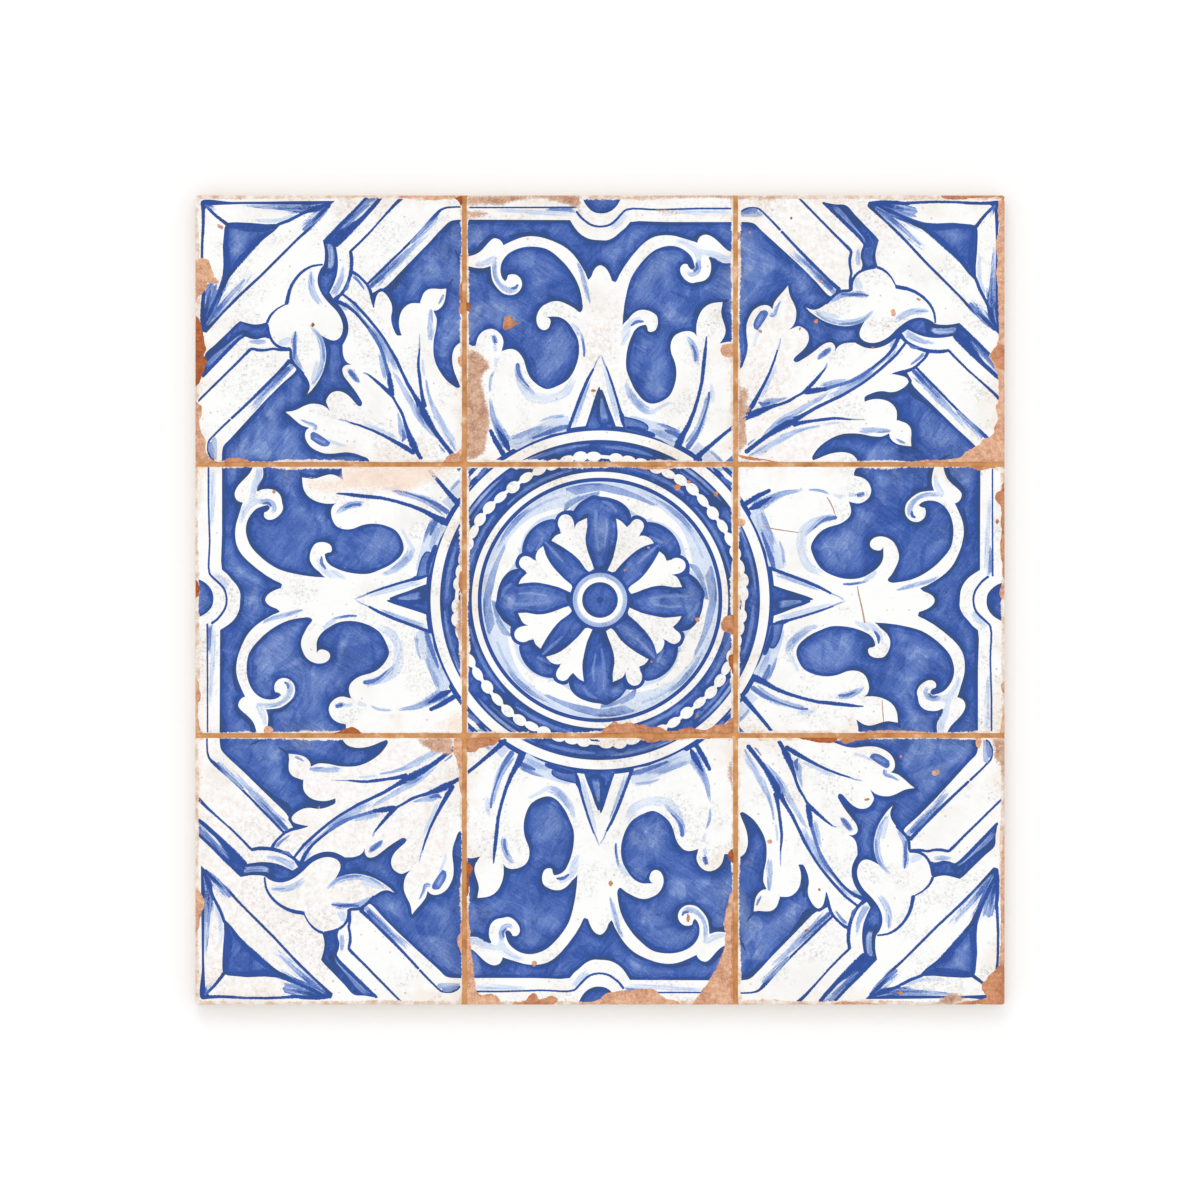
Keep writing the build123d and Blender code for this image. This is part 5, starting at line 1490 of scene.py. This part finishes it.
def keyingField():
    # Geometry Nodes sets the pocket out in rows and welds the ribs together
    tree = bpy.data.node_groups.new("keying field", "GeometryNodeTree")
    tree.interface.new_socket("Geometry", in_out="INPUT", socket_type="NodeSocketGeometry")
    tree.interface.new_socket("Geometry", in_out="OUTPUT", socket_type="NodeSocketGeometry")
    perSide = tree.interface.new_socket("Pockets per side", in_out="INPUT", socket_type="NodeSocketInt")
    pitch = tree.interface.new_socket("Pocket pitch", in_out="INPUT", socket_type="NodeSocketFloat")
    clay = tree.interface.new_socket("Clay", in_out="INPUT", socket_type="NodeSocketMaterial")
    given = tree.nodes.new("NodeGroupInput")
    result = tree.nodes.new("NodeGroupOutput")
    wanted = given.outputs
    gaps = addNode(tree, "ShaderNodeMath", wanted["Pockets per side"], 1.0, operation="SUBTRACT")
    span = addNode(tree, "ShaderNodeMath", gaps, wanted["Pocket pitch"], operation="MULTIPLY")
    perSideWanted = wanted["Pockets per side"]
    grid = addNode(tree, "GeometryNodeMeshGrid", span, span, perSideWanted, perSideWanted)
    points = addNode(tree, "GeometryNodeMeshToPoints", grid)
    pockets = addNode(tree, "GeometryNodeInstanceOnPoints", points, named={"Instance": wanted["Geometry"]})
    realized = addNode(tree, "GeometryNodeRealizeInstances", pockets)
    welded = addNode(tree, "GeometryNodeMergeByDistance", realized, named={"Distance": 0.00001})
    clothed = addNode(tree, "GeometryNodeSetMaterial", welded, named={"Material": wanted["Clay"]})
    tree.links.new(clothed.outputs[0], result.inputs[0])
    maker = bpy.data.objects.new("keying field maker", pocketUnit())
    bpy.context.scene.collection.objects.link(maker)
    modifier = maker.modifiers.new("keying field", "NODES")
    modifier.node_group = tree
    modifier[perSide.identifier] = keying["pocketsPerSide"]
    modifier[pitch.identifier] = (keying["pocketSide"] + keying["ribWidth"]) / 1000
    modifier[clay.identifier] = clayMaterial
    maker.update_tag()
    bpy.context.view_layer.update()
    evaluated = maker.evaluated_get(bpy.context.evaluated_depsgraph_get())
    mesh = bpy.data.meshes.new_from_object(evaluated)
    bpy.data.objects.remove(maker)
    verts = np.array([tuple(v.co) for v in mesh.vertices]) * 1000
    faces = [tuple(p.vertices) for p in mesh.polygons]
    return verts, faces


glazeMaterial = paintedGlaze()
jointMaterial = scoredJoint()
clayMaterial = firedClay()
print("materials made")

def sunkHeights(points, triangles, spots, spotCover):
    # chips are sunk from their outlines inwards, with an uneven floor that stays above the joints'
    heights = faceHeight(points[:, 0], points[:, 1])
    spotOf = np.full(len(points), -1)
    whole = np.ones(len(points), bool)
    for corner in range(3):
        spotOf[triangles[:, corner]] = np.maximum(spotOf[triangles[:, corner]], spotCover)
        whole[triangles[spotCover < 0, corner]] = False
    lowest = tile["thickness"] - tile["jointDepth"] + 0.05
    for i in np.nonzero(whole & (spotOf >= 0))[0]:
        depth = wearKinds[spots[spotOf[i]][0]][1]
        x, y = points[i]
        rough = noise.noise(Vector((x * 0.9, y * 0.9, 3.1)))
        if heights[i] > lowest + 0.05:
            heights[i] = max(heights[i] - depth * (0.8 + 0.5 * rough), lowest)
    return heights


faceVerts, faceTris, paint, wearing, stroke, spots, spotCover, inJoint = buildFace()
print("face triangles", len(faceTris))

verts = [np.column_stack([faceVerts, sunkHeights(faceVerts, faceTris, spots, spotCover)])]
faces = [tuple(f) for f in faceTris.tolist()]
count = len(faceVerts)

# Sides: down the land, in along the draft, and round the back's edge
loop = boundaryLoop(faceTris)
rimXY = faceVerts[loop]
lean = math.tan(math.radians(tile["edgeDraft"]))
landFoot = tile["thickness"] - tile["jointDepth"] - tile["edgeLand"]
backRadius = tile["backEdgeRadius"]
arcCentre = (landFoot - backRadius) * lean + backRadius * math.hypot(1, lean)
upperRing = 7.4  # parts the land, so that its faces aren't long
levels = [(0.0, upperRing), (0.0, landFoot)]
for turn in (tile["edgeDraft"], 27.0, 48.0, 69.0, 90.0):
    a = math.radians(turn)
    levels.append((arcCentre - backRadius * math.cos(a), backRadius * (1 - math.sin(a))))
previous = list(loop)
sideFaces = []
sidePath = {i: 0.0 for i in loop}
lastPlace = (0.0, tile["thickness"] - tile["edgeRadius"])
travelled = 0.0
for inset, z in levels:
    travelled += math.dist(lastPlace, (inset, z))
    lastPlace = (inset, z)
    ringXY = rimXY * (1 - inset / halfSide)
    verts.append(np.column_stack([ringXY, np.full(len(loop), z)]))
    current = list(range(count, count + len(loop)))
    count += len(loop)
    for i in range(len(loop)):
        j = (i + 1) % len(loop)
        sideFaces.append((previous[j], previous[i], current[i], current[j]))
    for i in current:
        sidePath[i] = travelled
    previous = current
faces += sideFaces

# Back: the pocket field, and a plain border out to the rim
fieldVerts, fieldFaces = keyingField()
fieldHalf = keying["pocketsPerSide"] * (keying["pocketSide"] + keying["ribWidth"]) / 2
firstField = count
verts.append(fieldVerts)
count += len(fieldVerts)
fieldFaces = [tuple(firstField + i for i in f) for f in fieldFaces]
atEdge = np.abs(fieldVerts[:, :2]).max(axis=1) > fieldHalf - 0.01
onEdge = np.nonzero(atEdge & (fieldVerts[:, 2] < 0.01))[0]
around = onEdge[np.argsort(np.arctan2(fieldVerts[onEdge, 1], fieldVerts[onEdge, 0]))]
allVerts = np.vstack(verts)
innerIds = [firstField + int(i) for i in around]
outerIds = previous
ids = outerIds + innerIds
ringPoints = [Vector(allVerts[i, :2]) for i in ids]
nOuter = len(outerIds)
nInner = len(innerIds)
ringEdges = [(i, (i + 1) % nOuter) for i in range(nOuter)]
ringEdges += [(nOuter + i, nOuter + (i + 1) % nInner) for i in range(nInner)]
ringVerts, _, ringFaces, origins, *rest = delaunay_2d_cdt(ringPoints, ringEdges, [], 0, 1e-5, True)
assert len(ringVerts) == len(ids), "the border needs no new points"
borderFaces = []
for f in ringFaces:
    places = [origins[i][0] for i in f]
    middle = np.mean([allVerts[ids[i], :2] for i in places], axis=0)
    if np.abs(middle).max() > fieldHalf:
        borderFaces.append(tuple(ids[i] for i in places))
backFaces = fieldFaces + borderFaces
faces += backFaces

mesh = bpy.data.meshes.new("wall tile")
mesh.from_pydata((allVerts / 1000).tolist(), [], faces)
shell = bmesh.new()
shell.from_mesh(mesh)
bmesh.ops.recalc_face_normals(shell, faces=shell.faces)
openEdges = sum(1 for e in shell.edges if len(e.link_faces) != 2)
shell.to_mesh(mesh)
shell.free()
triangles = sum(len(f) - 2 for f in faces)
print("tile:", len(allVerts), "points,", triangles, "triangles, open edges", openEdges)

for material in (glazeMaterial, jointMaterial, clayMaterial):
    mesh.materials.append(material)
nFace = len(faceTris)
slots = np.full(len(faces), 2)
slots[:nFace] = np.where(inJoint, 1, 0)
mesh.polygons.foreach_set("material_index", slots.astype(np.int32))

# What the shaders read at each corner of each face
loopVerts = np.empty(len(mesh.loops), np.int32)
mesh.loops.foreach_get("vertex_index", loopVerts)
starts = np.empty(len(faces), np.int32)
mesh.polygons.foreach_get("loop_start", starts)
totals = np.empty(len(faces), np.int32)
mesh.polygons.foreach_get("loop_total", totals)
faceOfLoop = np.repeat(np.arange(len(faces)), totals)
onFace = faceOfLoop < nFace


def keepColours(name, values):
    attribute = mesh.color_attributes.new(name, "FLOAT_COLOR", "CORNER")
    attribute.data.foreach_set("color", values.ravel())


# pigment, distance from the field's edge and the stroke's number; wear, distance from its rim and
# the pigment beneath: the first and the last are one to a triangle, the distances one to a point
for name, (first, distance, last) in (("paint", paint), ("wear", wearing)):
    values = np.zeros((len(mesh.loops), 4), np.float32)
    values[:, 3] = 1
    values[onFace, 0] = first[faceOfLoop[onFace]]
    values[onFace, 1] = distance[loopVerts[onFace]]
    values[onFace, 2] = last[faceOfLoop[onFace]]
    keepColours(name, values)

# and the place in the brush stroke, put where the mesh holds each corner
values = np.zeros((len(mesh.loops), 4), np.float32)
cornerVerts = loopVerts[starts[:nFace, None] + np.arange(3)]
for corner in range(3):
    which = np.argmax(cornerVerts == faceTris[:, corner, None], axis=1)
    values[starts[:nFace] + which] = stroke[:, corner]
keepColours("stroke", values)

# Unwrapped for baking: the face large, the four sides as strips beside it, the back small
sheet = {
    "faceStart": 0.006,
    "faceShare": 0.874,
    "backStart": 0.889,
    "backShare": 0.106,
    "firstStrip": 0.888,
    "secondStrip": 0.923,
}
uvLayer = mesh.uv_layers.new(name="OFBake")
frontScale = sheet["faceShare"] / tile["side"]
xy = allVerts[loopVerts, :2]
uv = (sheet["faceStart"] + (xy + halfSide) * frontScale).astype(np.float32)
isBack = faceOfLoop >= nFace + len(sideFaces)
uv[isBack] = sheet["backStart"] + (xy[isBack] + halfSide) * (sheet["backShare"] / tile["side"])
isSide = ~onFace & ~isBack
path = np.array([sidePath.get(int(i), 0.0) for i in loopVerts]) * frontScale
sideMiddles = np.zeros((len(faces), 2))
np.add.at(sideMiddles, faceOfLoop, xy)
sideMiddles /= totals[:, None]
middles = sideMiddles[faceOfLoop]
facesX = np.abs(middles[:, 0]) > np.abs(middles[:, 1])
for axis, onAxis in ((0, facesX), (1, ~facesX)):
    for strip, mask in (("firstStrip", middles[:, axis] > 0), ("secondStrip", middles[:, axis] <= 0)):
        here = isSide & onAxis & mask
        uv[here, axis] = sheet[strip] + path[here]
uvLayer.data.foreach_set("uv", uv.ravel())

mesh.polygons.foreach_set("use_smooth", np.ones(len(mesh.polygons), bool))
mesh.set_sharp_from_angle(angle=math.radians(32))
mesh.update()
wallTile = bpy.data.objects.new("wall_tile_glazed", mesh)
bpy.context.scene.collection.objects.link(wallTile)
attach(wallTile, "root")
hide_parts("wall_tile")
print("tile made")


studio = {
    "photoWidth": 1200,
    "tileInPhoto": 809,
    "cameraHeight": 2.0,
    "halfFloor": 6.0,
    "skyLevel": 0.96,
    "lampLevel": 0.08,
    "lampTilt": 42.0,
    "lampSide": -80.0,
    "lampSpread": 30.0,
}


def makeFloor():
    mesh = bpy.data.meshes.new("studio floor")
    far = studio["halfFloor"]
    mesh.from_pydata([(-far, -far, 0), (far, -far, 0), (far, far, 0), (-far, far, 0)], [], [(0, 1, 2, 3)])
    floor = bpy.data.objects.new("studio_floor", mesh)
    bpy.context.scene.collection.objects.link(floor)
    material, tree, shader, place = newMaterial("white paper")
    path = addNode(tree, "ShaderNodeLightPath").outputs
    seen = addNode(tree, "ShaderNodeMath", path["Is Camera Ray"], path["Is Glossy Ray"], operation="MAXIMUM")
    seen = addNode(tree, "ShaderNodeMath", seen, path["Is Transmission Ray"], operation="MAXIMUM")
    tint = addNode(tree, "ShaderNodeMix", seen, colour("#E6E6E6"), (1.0, 1.0, 1.0, 1.0), data_type="RGBA")
    tree.links.new(tint.outputs[2], shader.inputs["Base Color"])
    shader.inputs["Roughness"].default_value = 1.0
    shader.inputs["Specular IOR Level"].default_value = 0.0
    mesh.materials.append(material)


def makeLight():
    world = bpy.data.worlds.new("studio")
    world.use_nodes = True
    background = world.node_tree.nodes["Background"]
    background.inputs["Color"].default_value = (1, 1, 1, 1)
    background.inputs["Strength"].default_value = studio["skyLevel"]
    bpy.context.scene.world = world
    lamp = bpy.data.lights.new("soft lamp", "SUN")
    lamp.angle = math.radians(studio["lampSpread"])
    lamp.energy = math.pi * studio["lampLevel"] / math.cos(math.radians(studio["lampTilt"]))
    holder = bpy.data.objects.new("soft lamp", lamp)
    holder.rotation_euler = (0, math.radians(-studio["lampTilt"]), math.radians(studio["lampSide"]))
    bpy.context.scene.collection.objects.link(holder)


def makeCamera():
    data = bpy.data.cameras.new("view from above")
    data.type = "ORTHO"
    data.ortho_scale = tile["side"] / 1000 * studio["photoWidth"] / studio["tileInPhoto"]
    camera = bpy.data.objects.new("view from above", data)
    camera.location = (0, 0, studio["cameraHeight"])
    bpy.context.scene.collection.objects.link(camera)
    bpy.context.scene.camera = camera


makeFloor()
makeLight()
makeCamera()
bpy.context.scene.view_settings.view_transform = "Standard"
print("studio made")
